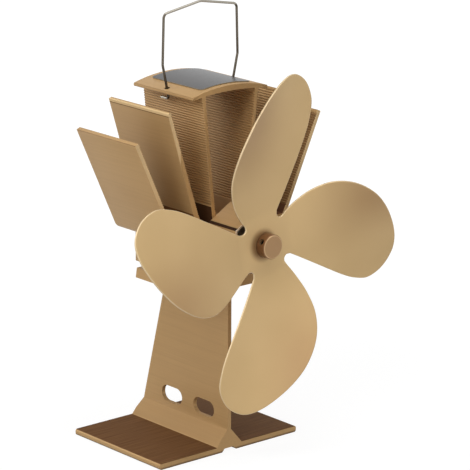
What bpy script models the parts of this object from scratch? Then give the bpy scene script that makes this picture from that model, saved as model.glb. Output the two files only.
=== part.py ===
"""Thermoelectric stove fan: an extruded stand and heat sink, a small motor and a twisted four-blade fan.

Run with blender --background --python part.py, or from the text editor. Metres, +Z up, front at -Y.
"""
import math

import bmesh
import bpy
import numpy as np
from mathutils import Matrix, Vector

MM = 0.001
DEGREE = math.radians(1)

# Fits shared by all pieces
seat_gap = 0.3 * MM            # between pieces that rest against each other
running_gap = 0.09 * MM        # radial play of the shaft in its bushes
bond_gap = 0.1 * MM            # under the glued label, and round pieces pressed on the shaft
cut_overrun = 1.0 * MM         # how far a cutter stands out of what it cuts
air_gap = 0.4 * MM             # between the armature and the magnets
weld_distance = 0.001 * MM     # points of one mesh that are nearer than this are one point

# Stand, one extrusion sawn to a slanting back
base_width = 83.9 * MM
base_depth = 63.7 * MM
foot_thickness = 3.1 * MM
foot_edge_radius = 1.1 * MM
gusset_width = 14.9 * MM
gusset_height = 7.5 * MM
web_thickness = 2.1 * MM
web_top_reach = 1.8 * MM       # how far the web's top stands out behind the flange
web_foot_reach = 0.8 * MM      # how far behind the foot the slanting cut would end
stand_height = 83.9 * MM
flange_thickness = 4.65 * MM
flange_taper = 0.7 * MM        # how much each side of the flange leans in
slot_length = 15.2 * MM
slot_height = 8.0 * MM
slot_pitch = 23.6 * MM
slot_count = 2
slot_centre_height = 17.2 * MM
slot_front_distance = 17.5 * MM

# Bimetal safety strip in the groove under the stand
strip_width = 5.0 * MM
strip_thickness = 0.5 * MM
strip_length = 44.0 * MM
strip_back_distance = 14.3 * MM
groove_depth = 1.6 * MM
groove_flare = 1.5 * MM
rivet_radius = 1.0 * MM
rivet_head_radius = 1.8 * MM
rivet_head_thickness = 0.35 * MM
rivet_depth = 4.0 * MM
rivet_end_distance = 2.6 * MM

# Thermoelectric module
module_width = 30.0 * MM
ceramic_thickness = 0.6 * MM
pellet_height = 1.1 * MM
pellet_rows = 5
pellet_fill_share = 0.58
pellet_sheet_share = 0.3

# Heat sink, one extrusion
sink_depth = 42.6 * MM
block_width = 43.2 * MM
block_height = 18.0 * MM
plate_width = 65.1 * MM
floor_thickness = 4.5 * MM
outer_fin_height = 50.0 * MM
outer_fin_lean = 24.6 * DEGREE
outer_fin_thickness = 2.2 * MM
inner_fin_height = 57.3 * MM
inner_fin_lean = 17.0 * DEGREE
inner_fin_thickness = 1.9 * MM
inner_fin_foot_thickness = 3.0 * MM
inner_fin_foot = 19.3 * MM     # outer face's distance from the middle, at the channel floor
wall_lean = 6.1 * DEGREE
wall_thickness = 2.2 * MM
wall_foot = 10.2 * MM          # outer face's distance from the middle, at the channel floor
cap_width = 44.4 * MM
cap_rise = 3.15 * MM
cap_thickness = 2.8 * MM       # in the middle
cap_end_thickness = 1.5 * MM
cap_height = 65.7 * MM         # crown of the arch over the channel floor
cap_segments = 28
rib_pitch = 1.17 * MM
rib_depth = 0.34 * MM
rib_top_margin = 1.2 * MM
rib_foot_margin = 8.0 * MM
outer_rib_foot_margin = 3.5 * MM
root_fillet = 1.0 * MM
knee_radius = 4.5 * MM
fillet_steps = 3

# Clamp screws between the stand's flange and the block
screw_radius = 1.5 * MM
clamp_head_radius = 2.7 * MM
clamp_head_height = 1.8 * MM
clamp_thread_depth = 11.0 * MM
bush_washer_radius = 3.1 * MM
bush_washer_thickness = 1.0 * MM
bush_sleeve_wall = 0.5 * MM

# Motor, an ordinary round direct-current type
motor_radius = 12.0 * MM
motor_length = 12.3 * MM
can_wall = 0.8 * MM
boss_radius = 3.0 * MM
front_boss_length = 1.2 * MM
back_boss_length = 1.5 * MM
end_cap_thickness = 1.2 * MM
end_cap_ring_depth = 1.2 * MM
end_cap_ring_wall = 1.2 * MM
shaft_radius = 1.0 * MM
bush_wall = 1.0 * MM
magnet_thickness = 2.0 * MM
magnet_length = 7.6 * MM
magnet_half_angle = 62.0 * DEGREE
core_length = 4.8 * MM
core_hub_wall = 1.5 * MM
pole_count = 3
pole_neck_width = 2.2 * MM
pole_shoe_thickness = 1.5 * MM
pole_shoe_half_angle = 50.0 * DEGREE
coil_thickness = 0.9 * MM
commutator_wall = 1.1 * MM
commutator_length = 2.1 * MM
brush_thickness = 0.4 * MM
brush_leaf_width = 1.0 * MM
terminal_width = 2.0 * MM
terminal_offset = 6.0 * MM
terminal_reach = 2.0 * MM

# Hexagonal motor housing
housing_wall = 1.1 * MM
housing_back = 2.0 * MM
motor_back_space = 3.0 * MM
housing_lip = 2.05 * MM        # how far the rim stands out in front of the motor
housing_screw_spacing = 12.0 * MM
housing_screw_drop = 7.1 * MM
housing_screw_head_radius = 2.3 * MM
housing_screw_head_height = 1.3 * MM
housing_screw_depth = 7.0 * MM
axis_rise = 18.25 * MM         # the fan's axis over the underside of the heat sink's block

# Leads from the module to the motor
lead_radius = 0.5 * MM
lead_spacing = 1.8 * MM
lead_bend = 1.5 * MM
lead_duct_radius = 2.0 * MM
lead_duct_setback = 4.0 * MM   # behind the block's front face
lead_duct_drop = 5.0 * MM      # below the fan's axis

# Fan, one sheet with four twisted blades
fan_radius = 79.0 * MM
blade_count = 4
blade_thickness = 0.9 * MM
blade_clearance = 4.2 * MM     # between the housing's rim and the sheet
hub_flat_radius = 12.0 * MM
twist_ease = 6.0 * MM          # length over which the twist sets in
tip_pitch = 20.5 * DEGREE
twist_line_offset = 28.8 * MM  # the line beside the blade that stays in the hub's plane
slot_round_radius = 2.1 * MM
slot_round_distance = 16.3 * MM
slot_round_angle = 54.0 * DEGREE
rotor_rest_angle = 3.4 * DEGREE
blade_stations = 22
blade_strips = 6
edge_steps = 12
leading_edge_shares = ((0.230, 0.211), (0.342, 0.267), (0.468, 0.291), (0.608, 0.259),
                       (0.751, 0.168), (0.861, 0.046), (0.943, -0.096), (0.971, -0.205))
trailing_edge_shares = ((0.203, -0.105), (0.380, -0.207), (0.570, -0.316), (0.680, -0.366),
                        (0.785, -0.388), (0.886, -0.354), (0.950, -0.285), (0.971, -0.205))

# Hub collar
collar_radius = 5.7 * MM
collar_length = 5.1 * MM
collar_chamfer = 0.4 * MM
collar_front_wall = 1.2 * MM
spigot_radius = 3.4 * MM
rivet_lip_radius = 4.4 * MM
rivet_lip_thickness = 0.8 * MM
set_screw_radius = 1.3 * MM
set_screw_length = 3.2 * MM
set_screw_angle = 150.0 * DEGREE
socket_radius = 0.75 * MM
socket_depth = 1.2 * MM

# Wire carrying handle
wire_radius = 0.6 * MM
handle_width = 44.6 * MM       # between the middles of the kinks in the legs
handle_top_width = 43.2 * MM   # between the middles of the top corners
handle_foot_width = 39.3 * MM  # between the middles of the holes in the cap
handle_kink_height = 11.8 * MM
handle_corner_height = 35.1 * MM
handle_peak_height = 38.8 * MM
handle_hook_drop = 4.1 * MM
handle_hook_length = 5.5 * MM
handle_hole_radius = 1.2 * MM
hook_bend = 1.4 * MM
kink_bend = 3.0 * MM
corner_bend = 2.4 * MM
peak_bend = 8.0 * MM

# Label plate on the cap
label_width = 29.4 * MM
label_depth = 36.2 * MM
label_front_margin = 2.9 * MM
label_thickness = 0.4 * MM
label_corner = 1.8 * MM
label_segments = 18

# Facets
wire_sides = 10
small_round_sides = 24
large_round_sides = 36
corner_steps = 4
sharp_angle = 35 * DEGREE
fillet_run_share = 0.49        # the most of a straight run that one fillet may take

# Places that follow from the sizes above
sink_front = -sink_depth / 2
sink_back = sink_depth / 2
module_gap = 2 * ceramic_thickness + pellet_height + 4 * seat_gap
sink_bottom = stand_height + module_gap
plate_bottom = sink_bottom + block_height
channel_floor = plate_bottom + floor_thickness
cap_crown = channel_floor + cap_height
cap_radius = ((cap_width / 2) ** 2 + cap_rise ** 2) / (2 * cap_rise)
cap_centre = cap_crown - cap_radius
under_rise = cap_rise - cap_thickness + cap_end_thickness
under_radius = ((cap_width / 2) ** 2 + under_rise ** 2) / (2 * under_rise)
under_centre = cap_crown - cap_thickness - under_radius
base_back = sink_front + base_depth
housing_inner = motor_radius + seat_gap
housing_start = seat_gap
motor_back = housing_start + housing_back + motor_back_space
motor_front = motor_back + motor_length
housing_front = motor_front + housing_lip
blade_plane = housing_front + blade_clearance + blade_thickness / 2
can_inner = motor_radius - can_wall
magnet_outer = can_inner - seat_gap
magnet_inner = magnet_outer - magnet_thickness
core_radius = magnet_inner - air_gap
core_middle = motor_front - can_wall - seat_gap - coil_thickness - seat_gap - core_length / 2
commutator_radius = shaft_radius + bond_gap + commutator_wall
commutator_front = core_middle - core_length / 2 - coil_thickness - 2 * seat_gap
collar_front = blade_plane + blade_thickness / 2 + seat_gap + collar_length
clamp_offset = module_width / 2 + seat_gap + screw_radius + seat_gap + bush_sleeve_wall + seat_gap
axis_height = sink_bottom + axis_rise
lead_duct_height = axis_height - lead_duct_drop


# Materials

def finish(name, colour, roughness, metallic):
    """One Principled material with an even colour."""
    material = bpy.data.materials.new(name)
    material.use_nodes = True
    shader = material.node_tree.nodes["Principled BSDF"]
    shader.inputs["Base Color"].default_value = (*colour, 1.0)
    shader.inputs["Roughness"].default_value = roughness
    shader.inputs["Metallic"].default_value = metallic
    material.diffuse_color = (*colour, 1.0)
    return material


FINISHES = {
    "gold_anodised": ((0.48, 0.33, 0.17), 0.45, 0.6),
    "gold_sheet": ((0.52, 0.37, 0.20), 0.40, 0.6),
    "collar_bronze": ((0.36, 0.23, 0.13), 0.38, 0.8),
    "steel_wire": ((0.55, 0.53, 0.50), 0.18, 1.0),
    "zinc_steel": ((0.60, 0.60, 0.58), 0.30, 1.0),
    "black_steel": ((0.05, 0.05, 0.05), 0.40, 0.6),
    "bimetal": ((0.45, 0.38, 0.30), 0.35, 1.0),
    "bronze_bush": ((0.45, 0.28, 0.12), 0.50, 0.9),
    "copper": ((0.70, 0.30, 0.15), 0.35, 1.0),
    "lamination": ((0.32, 0.32, 0.33), 0.45, 0.8),
    "ferrite": ((0.06, 0.06, 0.06), 0.70, 0.0),
    "white_ceramic": ((0.85, 0.85, 0.82), 0.55, 0.0),
    "pellet_grey": ((0.25, 0.25, 0.27), 0.60, 0.3),
    "cream_plastic": ((0.70, 0.64, 0.50), 0.50, 0.0),
    "red_lead": ((0.50, 0.03, 0.02), 0.50, 0.0),
    "black_lead": ((0.02, 0.02, 0.02), 0.50, 0.0),
    "grey_label": ((0.10, 0.10, 0.10), 0.35, 0.0),
}


# Small geometry helpers

def turn(point, angle):
    """A 2-D point turned about zero."""
    c, s = math.cos(angle), math.sin(angle)
    return (point[0] * c - point[1] * s, point[0] * s + point[1] * c)


def arc(centre, radius, start, end, steps):
    """Points along a 2-D arc, both ends included."""
    angles = [start + (end - start) * i / steps for i in range(steps + 1)]
    return [(centre[0] + radius * math.cos(a), centre[1] + radius * math.sin(a)) for a in angles]


def circle(centre, radius, sides):
    """A closed 2-D circle, its first point not repeated."""
    return arc(centre, radius, 0, 2 * math.pi, sides)[:-1]


def rectangle(width, height, centre=(0, 0)):
    """A closed 2-D rectangle round its centre."""
    x, y = centre
    a, b = width / 2, height / 2
    return [(x - a, y - b), (x + a, y - b), (x + a, y + b), (x - a, y + b)]


def rounded_rectangle(width, height, radius, steps=corner_steps):
    """A closed 2-D rectangle with round corners."""
    a, b = width / 2 - radius, height / 2 - radius
    quarter = math.pi / 2
    points = []
    for i, (x, y) in enumerate(((a, -b), (a, b), (-a, b), (-a, -b))):
        points += arc((x, y), radius, (i - 1) * quarter, i * quarter, steps)
    return points


def fillet_corner(before, corner, after, radius, steps=fillet_steps):
    """Arc points, in 2-D or 3-D, that round the corner between two straight runs."""
    p, a, b = Vector(corner), Vector(before), Vector(after)
    u, v = (a - p).normalized(), (b - p).normalized()
    half = u.angle(v) / 2
    longest = fillet_run_share * min((a - p).length, (b - p).length)
    reach = min(radius / math.tan(half), longest)
    radius = reach * math.tan(half)
    middle = p + (u + v).normalized() * (radius / math.sin(half))
    start, end = p + u * reach - middle, p + v * reach - middle
    sweep = start.angle(end)
    points = []
    for i in range(steps + 1):
        t = i / steps
        mix = (math.sin((1 - t) * sweep) * start + math.sin(t * sweep) * end) / math.sin(sweep)
        points.append(tuple(middle + mix))
    return points


def smooth_curve(points, steps):
    """A Catmull-Rom curve through the given points, both ends included."""
    p = np.array(points, dtype=float)
    p = np.vstack([2 * p[0] - p[1], p, 2 * p[-1] - p[-2]])
    t = np.linspace(0, 1, steps, endpoint=False)[:, None]
    runs = []
    for a, b, c, d in zip(p[:-3], p[1:-2], p[2:-1], p[3:]):
        runs.append(0.5 * (2 * b + (c - a) * t + (2 * a - 5 * b + 4 * c - d) * t ** 2
                           + (3 * b - 3 * c + d - a) * t ** 3))
    return np.vstack(runs + [p[-2:-1]])


def evenly_spaced(points, count):
    """The same curve as count + 1 points at equal steps along its length."""
    lengths = np.concatenate([[0], np.cumsum(np.linalg.norm(np.diff(points, axis=0), axis=1))])
    at = np.linspace(0, lengths[-1], count + 1)
    return np.stack([np.interp(at, lengths, points[:, i]) for i in range(points.shape[1])], axis=1)


# Makers of solids

def add_object(name, bm, finish_name, parent, smooth=False, rotation=0.0):
    """Turn a bmesh into a named object with its own material, under a parent."""
    mesh = bpy.data.meshes.new(name)
    bm.to_mesh(mesh)
    bm.free()
    if smooth:
        mesh.shade_smooth()
        mesh.set_sharp_from_angle(angle=sharp_angle)
    node = bpy.data.objects.new(name, mesh)
    bpy.context.collection.objects.link(node)
    node.data.materials.append(finish(name + "_finish", *FINISHES[finish_name]))
    node.parent = parent
    node.rotation_euler.z = rotation
    return node


def prism(loops, start, end, place=lambda u, v, w: (u, v, w)):
    """A closed solid between two planes; the first loop is its outline, the rest are openings."""
    bm = bmesh.new()
    for w in (start, end):
        edges = []
        for loop in loops:
            verts = [bm.verts.new(place(u, v, w)) for u, v in loop]
            edges += [bm.edges.new((verts[i - 1], verts[i])) for i in range(len(verts))]
        bmesh.ops.triangle_fill(bm, edges=edges, use_beauty=True)
    bm.verts.ensure_lookup_table()
    total = sum(len(loop) for loop in loops)
    first = 0
    for loop in loops:
        count = len(loop)
        for i in range(count):
            a, b = first + (i - 1) % count, first + i
            bm.faces.new([bm.verts[k] for k in (a, b, b + total, a + total)])
        first += count
    bmesh.ops.recalc_face_normals(bm, faces=bm.faces)
    return bm


def front_view(u, v, w):
    """Profile points seen from the front, carried along the depth."""
    return (u, w, v)


def side_view(u, v, w):
    """Profile points seen from the side, carried across the width."""
    return (w, u, v)


def turned(outline, sides):
    """A closed (radius, height) outline turned about Z; points at radius zero become poles."""
    bm = bmesh.new()
    angles = [2 * math.pi * i / sides for i in range(sides)]
    rings = []
    for radius, z in outline:
        if radius == 0:
            rings.append([bm.verts.new((0, 0, z))] * sides)
        else:
            rings.append([bm.verts.new((radius * math.cos(a), radius * math.sin(a), z)) for a in angles])
    for ring, following in zip(rings, rings[1:] + rings[:1]):
        if ring[0] is ring[1] and following[0] is following[1]:
            continue
        for i in range(sides):
            j = (i + 1) % sides
            corners = []
            for vert in (ring[i], ring[j], following[j], following[i]):
                if vert not in corners:
                    corners.append(vert)
            bm.faces.new(corners)
    bmesh.ops.recalc_face_normals(bm, faces=bm.faces)
    return bm


def cylinder(radius, bottom, top, sides=small_round_sides):
    """A plain round bar on Z."""
    return turned([(0, bottom), (radius, bottom), (radius, top), (0, top)], sides)


def placed(bm, matrix):
    """The same mesh moved by a matrix."""
    bmesh.ops.transform(bm, matrix=matrix, verts=bm.verts)
    return bm


def cut(node, bm, name):
    """Take a cutter away from a node with a Boolean that stays on it."""
    mesh = bpy.data.meshes.new(name)
    bm.to_mesh(mesh)
    bm.free()
    cutter = bpy.data.objects.new(name, mesh)
    bpy.context.collection.objects.link(cutter)
    cutter.parent = node.parent
    cutter.matrix_local = node.matrix_local
    cutter.hide_render = True
    cutter.display_type = "WIRE"
    boolean = node.modifiers.new(name, "BOOLEAN")
    boolean.operation = "DIFFERENCE"
    boolean.solver = "EXACT"
    boolean.object = cutter


def tube(name, points, radius, finish_name, parent):
    """A wire along a list of points: a bevelled curve with filled ends."""
    curve = bpy.data.curves.new(name, "CURVE")
    curve.dimensions = "3D"
    curve.bevel_depth = radius
    curve.bevel_resolution = wire_sides // 2 - 2
    curve.use_fill_caps = True
    spline = curve.splines.new("POLY")
    spline.points.add(len(points) - 1)
    for point, place in zip(spline.points, points):
        point.co = (*place, 1.0)
    curve.materials.append(finish(name + "_finish", *FINISHES[finish_name]))
    node = bpy.data.objects.new(name, curve)
    bpy.context.collection.objects.link(node)
    node.parent = parent
    return node


def rounded_path(corners, radii, steps=6):
    """A 3-D path of straight runs with round corners."""
    path = [corners[0]]
    for before, corner, after, radius in zip(corners, corners[1:], corners[2:], radii):
        path += fillet_corner(before, corner, after, radius, steps)
    return path + [corners[-1]]


def empty(name, location, parent=None, rotation=(0, 0, 0)):
    """An empty that carries a group of pieces."""
    holder = bpy.data.objects.new(name, None)
    bpy.context.collection.objects.link(holder)
    holder.location = location
    holder.rotation_euler = rotation
    holder.parent = parent
    return holder


# Stand

def stand_outline():
    """The stand's section seen from the front: grooved foot, gussets, web and flange."""
    half = base_width / 2
    groove_top = strip_width / 2 + seat_gap
    groove_bottom = groove_top + groove_flare
    web = web_thickness / 2
    flange_bottom = stand_height - flange_thickness
    foot_start, foot_end = (groove_bottom, 0), (gusset_width / 2, foot_thickness)
    right = [(groove_top, groove_depth), foot_start]
    right += fillet_corner(foot_start, (half, 0), (half, foot_thickness), foot_edge_radius)
    right += fillet_corner((half, 0), (half, foot_thickness), foot_end, foot_edge_radius)
    right += [foot_end, (web, foot_thickness + gusset_height),
             (web, flange_bottom), (block_width / 2, flange_bottom),
             (block_width / 2 - flange_taper, stand_height)]
    return right + [(-x, z) for x, z in reversed(right)]


def build_stand(frame):
    """Grooved foot, web with its slanting back and two slots, and the flange under the module."""
    stand = add_object("base_stand", prism([stand_outline()], sink_front, base_back, front_view),
                       "gold_anodised", frame)
    web_top = sink_back + web_top_reach
    flange_bottom = stand_height - flange_thickness
    beyond = base_back + web_foot_reach + cut_overrun
    behind_web = [(base_back + web_foot_reach, foot_thickness), (beyond, foot_thickness),
                  (beyond, flange_bottom), (web_top, flange_bottom)]
    half = base_width / 2
    cut(stand, prism([behind_web], -half, half, side_view), "web_back_cutter")
    top = stand_height + cut_overrun
    behind_flange = [(sink_back, flange_bottom), (beyond, flange_bottom), (beyond, top), (sink_back, top)]
    cut(stand, prism([behind_flange], -half, half, side_view), "flange_back_cutter")
    for i in range(slot_count):
        y = sink_front + slot_front_distance + i * slot_pitch
        outline = [(u + y, v + slot_centre_height)
                   for u, v in rounded_rectangle(slot_length, slot_height, slot_height / 2, 2 * corner_steps)]
        cut(stand, prism([outline], -gusset_width, gusset_width, side_view), f"slot_cutter_{i + 1}")
    bush_hole = screw_radius + seat_gap + bush_sleeve_wall + seat_gap
    for side, name in ((-1, "left"), (1, "right")):
        hole = cylinder(bush_hole, flange_bottom - cut_overrun, top)
        cut(stand, placed(hole, Matrix.Translation((side * clamp_offset, 0, 0))), f"bush_hole_{name}")
    pivot = base_back - strip_back_distance
    hole = cylinder(rivet_radius + seat_gap, groove_depth - cut_overrun, groove_depth + rivet_depth)
    cut(stand, placed(hole, Matrix.Translation((0, pivot - rivet_end_distance, 0))), "rivet_hole")


def build_safety_strip(frame):
    """Bimetal strip in the groove, hinged at its riveted back end, and its rivet."""
    pivot = base_back - strip_back_distance
    strip_top = groove_depth - seat_gap
    hinge = empty("strip_hinge", (0, pivot, strip_top), frame)
    outline = rectangle(strip_width, strip_length, (0, -strip_length / 2))
    hole = circle((0, -rivet_end_distance), rivet_radius + seat_gap, small_round_sides)
    add_object("bimetal_strip", prism([outline, hole], -strip_thickness, 0), "bimetal", hinge)
    head_top = strip_top - strip_thickness - seat_gap
    rivet = turned([(0, head_top - rivet_head_thickness), (rivet_head_radius, head_top - rivet_head_thickness),
                    (rivet_head_radius, head_top), (rivet_radius, head_top),
                    (rivet_radius, groove_depth + rivet_depth - seat_gap),
                    (0, groove_depth + rivet_depth - seat_gap)], small_round_sides)
    placed(rivet, Matrix.Translation((0, pivot - rivet_end_distance, 0)))
    add_object("strip_rivet", rivet, "zinc_steel", frame, smooth=True)


# Thermoelectric module

def build_module(frame):
    """Two ceramic plates with the pellets and their sheet between them."""
    bottom = stand_height + seat_gap
    plate = rectangle(module_width, module_width)
    add_object("module_hot_plate", prism([plate], bottom, bottom + ceramic_thickness), "white_ceramic", frame)
    pellet_bottom = bottom + ceramic_thickness + seat_gap
    add_object("module_pellets", pellet_mesh(pellet_bottom), "pellet_grey", frame)
    cold_bottom = pellet_bottom + pellet_height + seat_gap
    add_object("module_cold_plate", prism([plate], cold_bottom, cold_bottom + ceramic_thickness),
               "white_ceramic", frame)


def pellet_mesh(bottom):
    """Square pellets in rows, standing out of both sides of a thin sheet, as one height field."""
    pitch = module_width / pellet_rows
    sheet_half = pellet_height * pellet_sheet_share / 2
    middle = bottom + pellet_height / 2
    lines = []
    for i in range(pellet_rows):
        centre = (i + 0.5) * pitch - module_width / 2
        reach = pitch * pellet_fill_share / 2
        lines += [(centre - reach, False), (centre + reach, True)]
    stops = [-module_width / 2] + [x for x, _ in lines] + [module_width / 2]
    bm = bmesh.new()
    cells = len(stops) - 1

    def quad(corners):
        bm.faces.new([bm.verts.new(c) for c in corners])

    def level(i, j):
        inside = 0 <= i < cells and 0 <= j < cells
        if not inside:
            return 0.0
        return pellet_height / 2 if i % 2 and j % 2 else sheet_half

    for i in range(cells):
        for j in range(cells):
            x0, x1, y0, y1 = stops[i], stops[i + 1], stops[j], stops[j + 1]
            h = level(i, j)
            for sign in (-1, 1):
                z = middle + sign * h
                quad(((x0, y0, z), (x1, y0, z), (x1, y1, z), (x0, y1, z)))
                for di, dj, ends in ((-1, 0, ((x0, y0), (x0, y1))), (1, 0, ((x1, y0), (x1, y1))),
                                     (0, -1, ((x0, y0), (x1, y0))), (0, 1, ((x0, y1), (x1, y1)))):
                    other = level(i + di, j + dj)
                    if other < h:
                        (ax, ay), (bx, by) = ends
                        low = middle + sign * other
                        quad(((ax, ay, low), (bx, by, low), (bx, by, z), (ax, ay, z)))
    bmesh.ops.remove_doubles(bm, verts=bm.verts, dist=weld_distance)
    bmesh.ops.recalc_face_normals(bm, faces=bm.faces)
    return bm


# Heat sink

def ribbed(start, end, inward, start_margin, end_margin):
    """A straight face with small grooves across it, from start to end; inward points into the metal."""
    p, q, n = Vector(start), Vector(end), Vector(inward).normalized()
    along = (q - p).normalized()
    length = (q - p).length - start_margin - end_margin
    count = max(int(length / rib_pitch), 1)
    spare = (length - count * rib_pitch) / 2
    points = [tuple(p)]
    for i in range(count):
        at = start_margin + spare + i * rib_pitch
        points += [tuple(p + along * at), tuple(p + along * (at + rib_pitch / 2) + n * rib_depth)]
    points.append(tuple(p + along * (start_margin + spare + count * rib_pitch)))
    return points + [tuple(q)]


def cap_top(x):
    """Height of the cap's upper face at a distance from the middle."""
    return cap_centre + math.sqrt(cap_radius ** 2 - x ** 2)


def cap_underside(x):
    """Height of the cap's lower face at a distance from the middle."""
    return under_centre + math.sqrt(under_radius ** 2 - x ** 2)


def wall_meets_cap(foot_x):
    """Where a leaning tower wall's face meets the underside of the cap."""
    x, z = foot_x, cap_crown
    for _ in range(40):
        x = foot_x + math.tan(wall_lean) * (z - channel_floor)
        z = cap_underside(x)
    return x, z


def cap_arc(centre, radius, start_x, end_x, segments):
    """Points along one of the cap's arcs between two distances from the middle."""
    start, end = math.acos(start_x / radius), math.acos(end_x / radius)
    return arc((0, centre), radius, start, end, segments)


def fin(foot_x, foot_z, lean, height, top_thickness, foot_thickness):
    """The four corners of a leaning fin: outer foot, outer top, inner top and inner foot."""
    along = Vector((math.sin(lean), math.cos(lean)))
    across = Vector((-math.cos(lean), math.sin(lean)))
    outer_foot = Vector((foot_x, foot_z))
    outer_top = outer_foot + along * (height / math.cos(lean))
    inner_top = outer_top + across * top_thickness
    inner_foot = Vector((foot_x - foot_thickness / math.cos(lean)
                         + math.tan(lean) * (channel_floor - foot_z), channel_floor))
    return outer_foot, outer_top, inner_top, inner_foot


def sink_outline():
    """The heat sink's outer section: block, plate, two leaning fins a side, tower walls and cap."""
    knee, outer_top, outer_inner_top, outer_inner_foot = fin(
        plate_width / 2, plate_bottom, outer_fin_lean, outer_fin_height, outer_fin_thickness,
        outer_fin_thickness)
    inner_foot_outer, inner_top, inner_inner_top, inner_inner_foot = fin(
        inner_fin_foot, channel_floor, inner_fin_lean, inner_fin_height, inner_fin_thickness,
        inner_fin_foot_thickness)
    wall_top = wall_meets_cap(wall_foot)
    wall_bottom = (wall_foot, channel_floor)
    right = [(block_width / 2, sink_bottom), (block_width / 2, plate_bottom)]
    right += fillet_corner((block_width / 2, plate_bottom), knee, outer_top, knee_radius)
    right.append(tuple(outer_top))
    outward = (math.cos(outer_fin_lean), -math.sin(outer_fin_lean))
    face = ribbed(outer_inner_top, outer_inner_foot, outward, rib_top_margin, outer_rib_foot_margin)
    right += face[:-1] + fillet_corner(face[-2], face[-1], inner_foot_outer, root_fillet)
    right += fillet_corner(face[-1], inner_foot_outer, inner_top, root_fillet)
    right.append(tuple(inner_top))
    outward = (inner_inner_top.y - inner_inner_foot.y, inner_inner_foot.x - inner_inner_top.x)
    face = ribbed(inner_inner_top, inner_inner_foot, outward, rib_top_margin, rib_foot_margin)
    right += face[:-1] + fillet_corner(face[-2], face[-1], wall_bottom, root_fillet)
    inward = (-math.cos(wall_lean), math.sin(wall_lean))
    face = ribbed(wall_bottom, wall_top, inward, rib_foot_margin, rib_top_margin)
    right += fillet_corner(inner_inner_foot, wall_bottom, face[1], root_fillet) + face[1:]
    right += cap_arc(under_centre, under_radius, wall_top[0], cap_width / 2, 3)[1:]
    right += cap_arc(cap_centre, cap_radius, cap_width / 2, 0, cap_segments // 2)
    return right + [(-x, z) for x, z in reversed(right[:-1])]


def duct_outline():
    """The opening between the tower walls, under the cap."""
    foot_x = wall_foot - wall_thickness / math.cos(wall_lean)
    top = wall_meets_cap(foot_x)
    foot = (foot_x, channel_floor)
    outward = (math.cos(wall_lean), -math.sin(wall_lean))
    face = ribbed(foot, top, outward, rib_foot_margin, rib_top_margin)
    right = fillet_corner((0, channel_floor), foot, face[1], root_fillet) + face[1:]
    right += cap_arc(under_centre, under_radius, top[0], 0, cap_segments // 4)[1:]
    return right + [(-x, z) for x, z in reversed(right[:-1])]


def build_heat_sink(frame):
    """The finned extrusion with its screw holes, lead duct and the two handle holes."""
    section = prism([sink_outline(), duct_outline()], sink_front, sink_back, front_view)
    sink = add_object("heat_sink", section, "gold_anodised", frame)
    thread = screw_radius + seat_gap
    for side, name in ((-1, "left"), (1, "right")):
        hole = cylinder(thread, sink_bottom - cut_overrun, sink_bottom + clamp_thread_depth)
        cut(sink, placed(hole, Matrix.Translation((side * clamp_offset, 0, 0))), f"clamp_hole_{name}")
        hole = cylinder(thread, -cut_overrun, housing_screw_depth)
        spot = Matrix.Translation((side * housing_screw_spacing / 2, sink_front,
                                   axis_height - housing_screw_drop))
        cut(sink, placed(hole, spot @ Matrix.Rotation(-90 * DEGREE, 4, "X")), f"housing_hole_{name}")
        x = side * handle_foot_width / 2
        bottom = cap_underside(handle_foot_width / 2 + handle_hole_radius) - cut_overrun
        hole = cylinder(handle_hole_radius, bottom, cap_crown + cut_overrun)
        cut(sink, placed(hole, Matrix.Translation((x, 0, 0))), f"handle_hole_{name}")
    duct_y = sink_front + lead_duct_setback
    riser_top = lead_duct_height + lead_duct_radius + seat_gap
    riser = cylinder(lead_duct_radius, sink_bottom - cut_overrun, riser_top)
    cut(sink, placed(riser, Matrix.Translation((0, duct_y, 0))), "lead_riser_cutter")
    outlet = cylinder(lead_duct_radius, -cut_overrun, lead_duct_setback + lead_duct_radius / 2)
    spot = Matrix.Translation((0, sink_front, lead_duct_height)) @ Matrix.Rotation(-90 * DEGREE, 4, "X")
    cut(sink, placed(outlet, spot), "lead_outlet_cutter")


def build_clamp_screws(frame):
    """A cap screw on each side of the web, with an insulating bush through the flange."""
    flange_bottom = stand_height - flange_thickness
    washer_top = flange_bottom - seat_gap
    washer_bottom = washer_top - bush_washer_thickness
    sleeve_inner = screw_radius + seat_gap
    sleeve_outer = sleeve_inner + bush_sleeve_wall
    head_top = washer_bottom - seat_gap
    head_bottom = head_top - clamp_head_height
    tip = sink_bottom + clamp_thread_depth - seat_gap
    for side, name in ((-1, "left"), (1, "right")):
        place = Matrix.Translation((side * clamp_offset, 0, 0))
        bush = turned([(sleeve_inner, washer_bottom), (bush_washer_radius, washer_bottom),
                       (bush_washer_radius, washer_top), (sleeve_outer, washer_top),
                       (sleeve_outer, stand_height), (sleeve_inner, stand_height)], small_round_sides)
        add_object(f"clamp_bush_{name}", placed(bush, place), "cream_plastic", frame, smooth=True)
        screw = turned([(0, head_bottom), (clamp_head_radius, head_bottom), (clamp_head_radius, head_top),
                        (screw_radius, head_top), (screw_radius, tip), (0, tip)], small_round_sides)
        node = add_object(f"clamp_screw_{name}", placed(screw, place), "zinc_steel", frame, smooth=True)
        socket = cylinder(screw_radius, head_bottom - cut_overrun, head_bottom + clamp_head_height / 2, 6)
        cut(node, placed(socket, place), f"clamp_socket_{name}")


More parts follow.
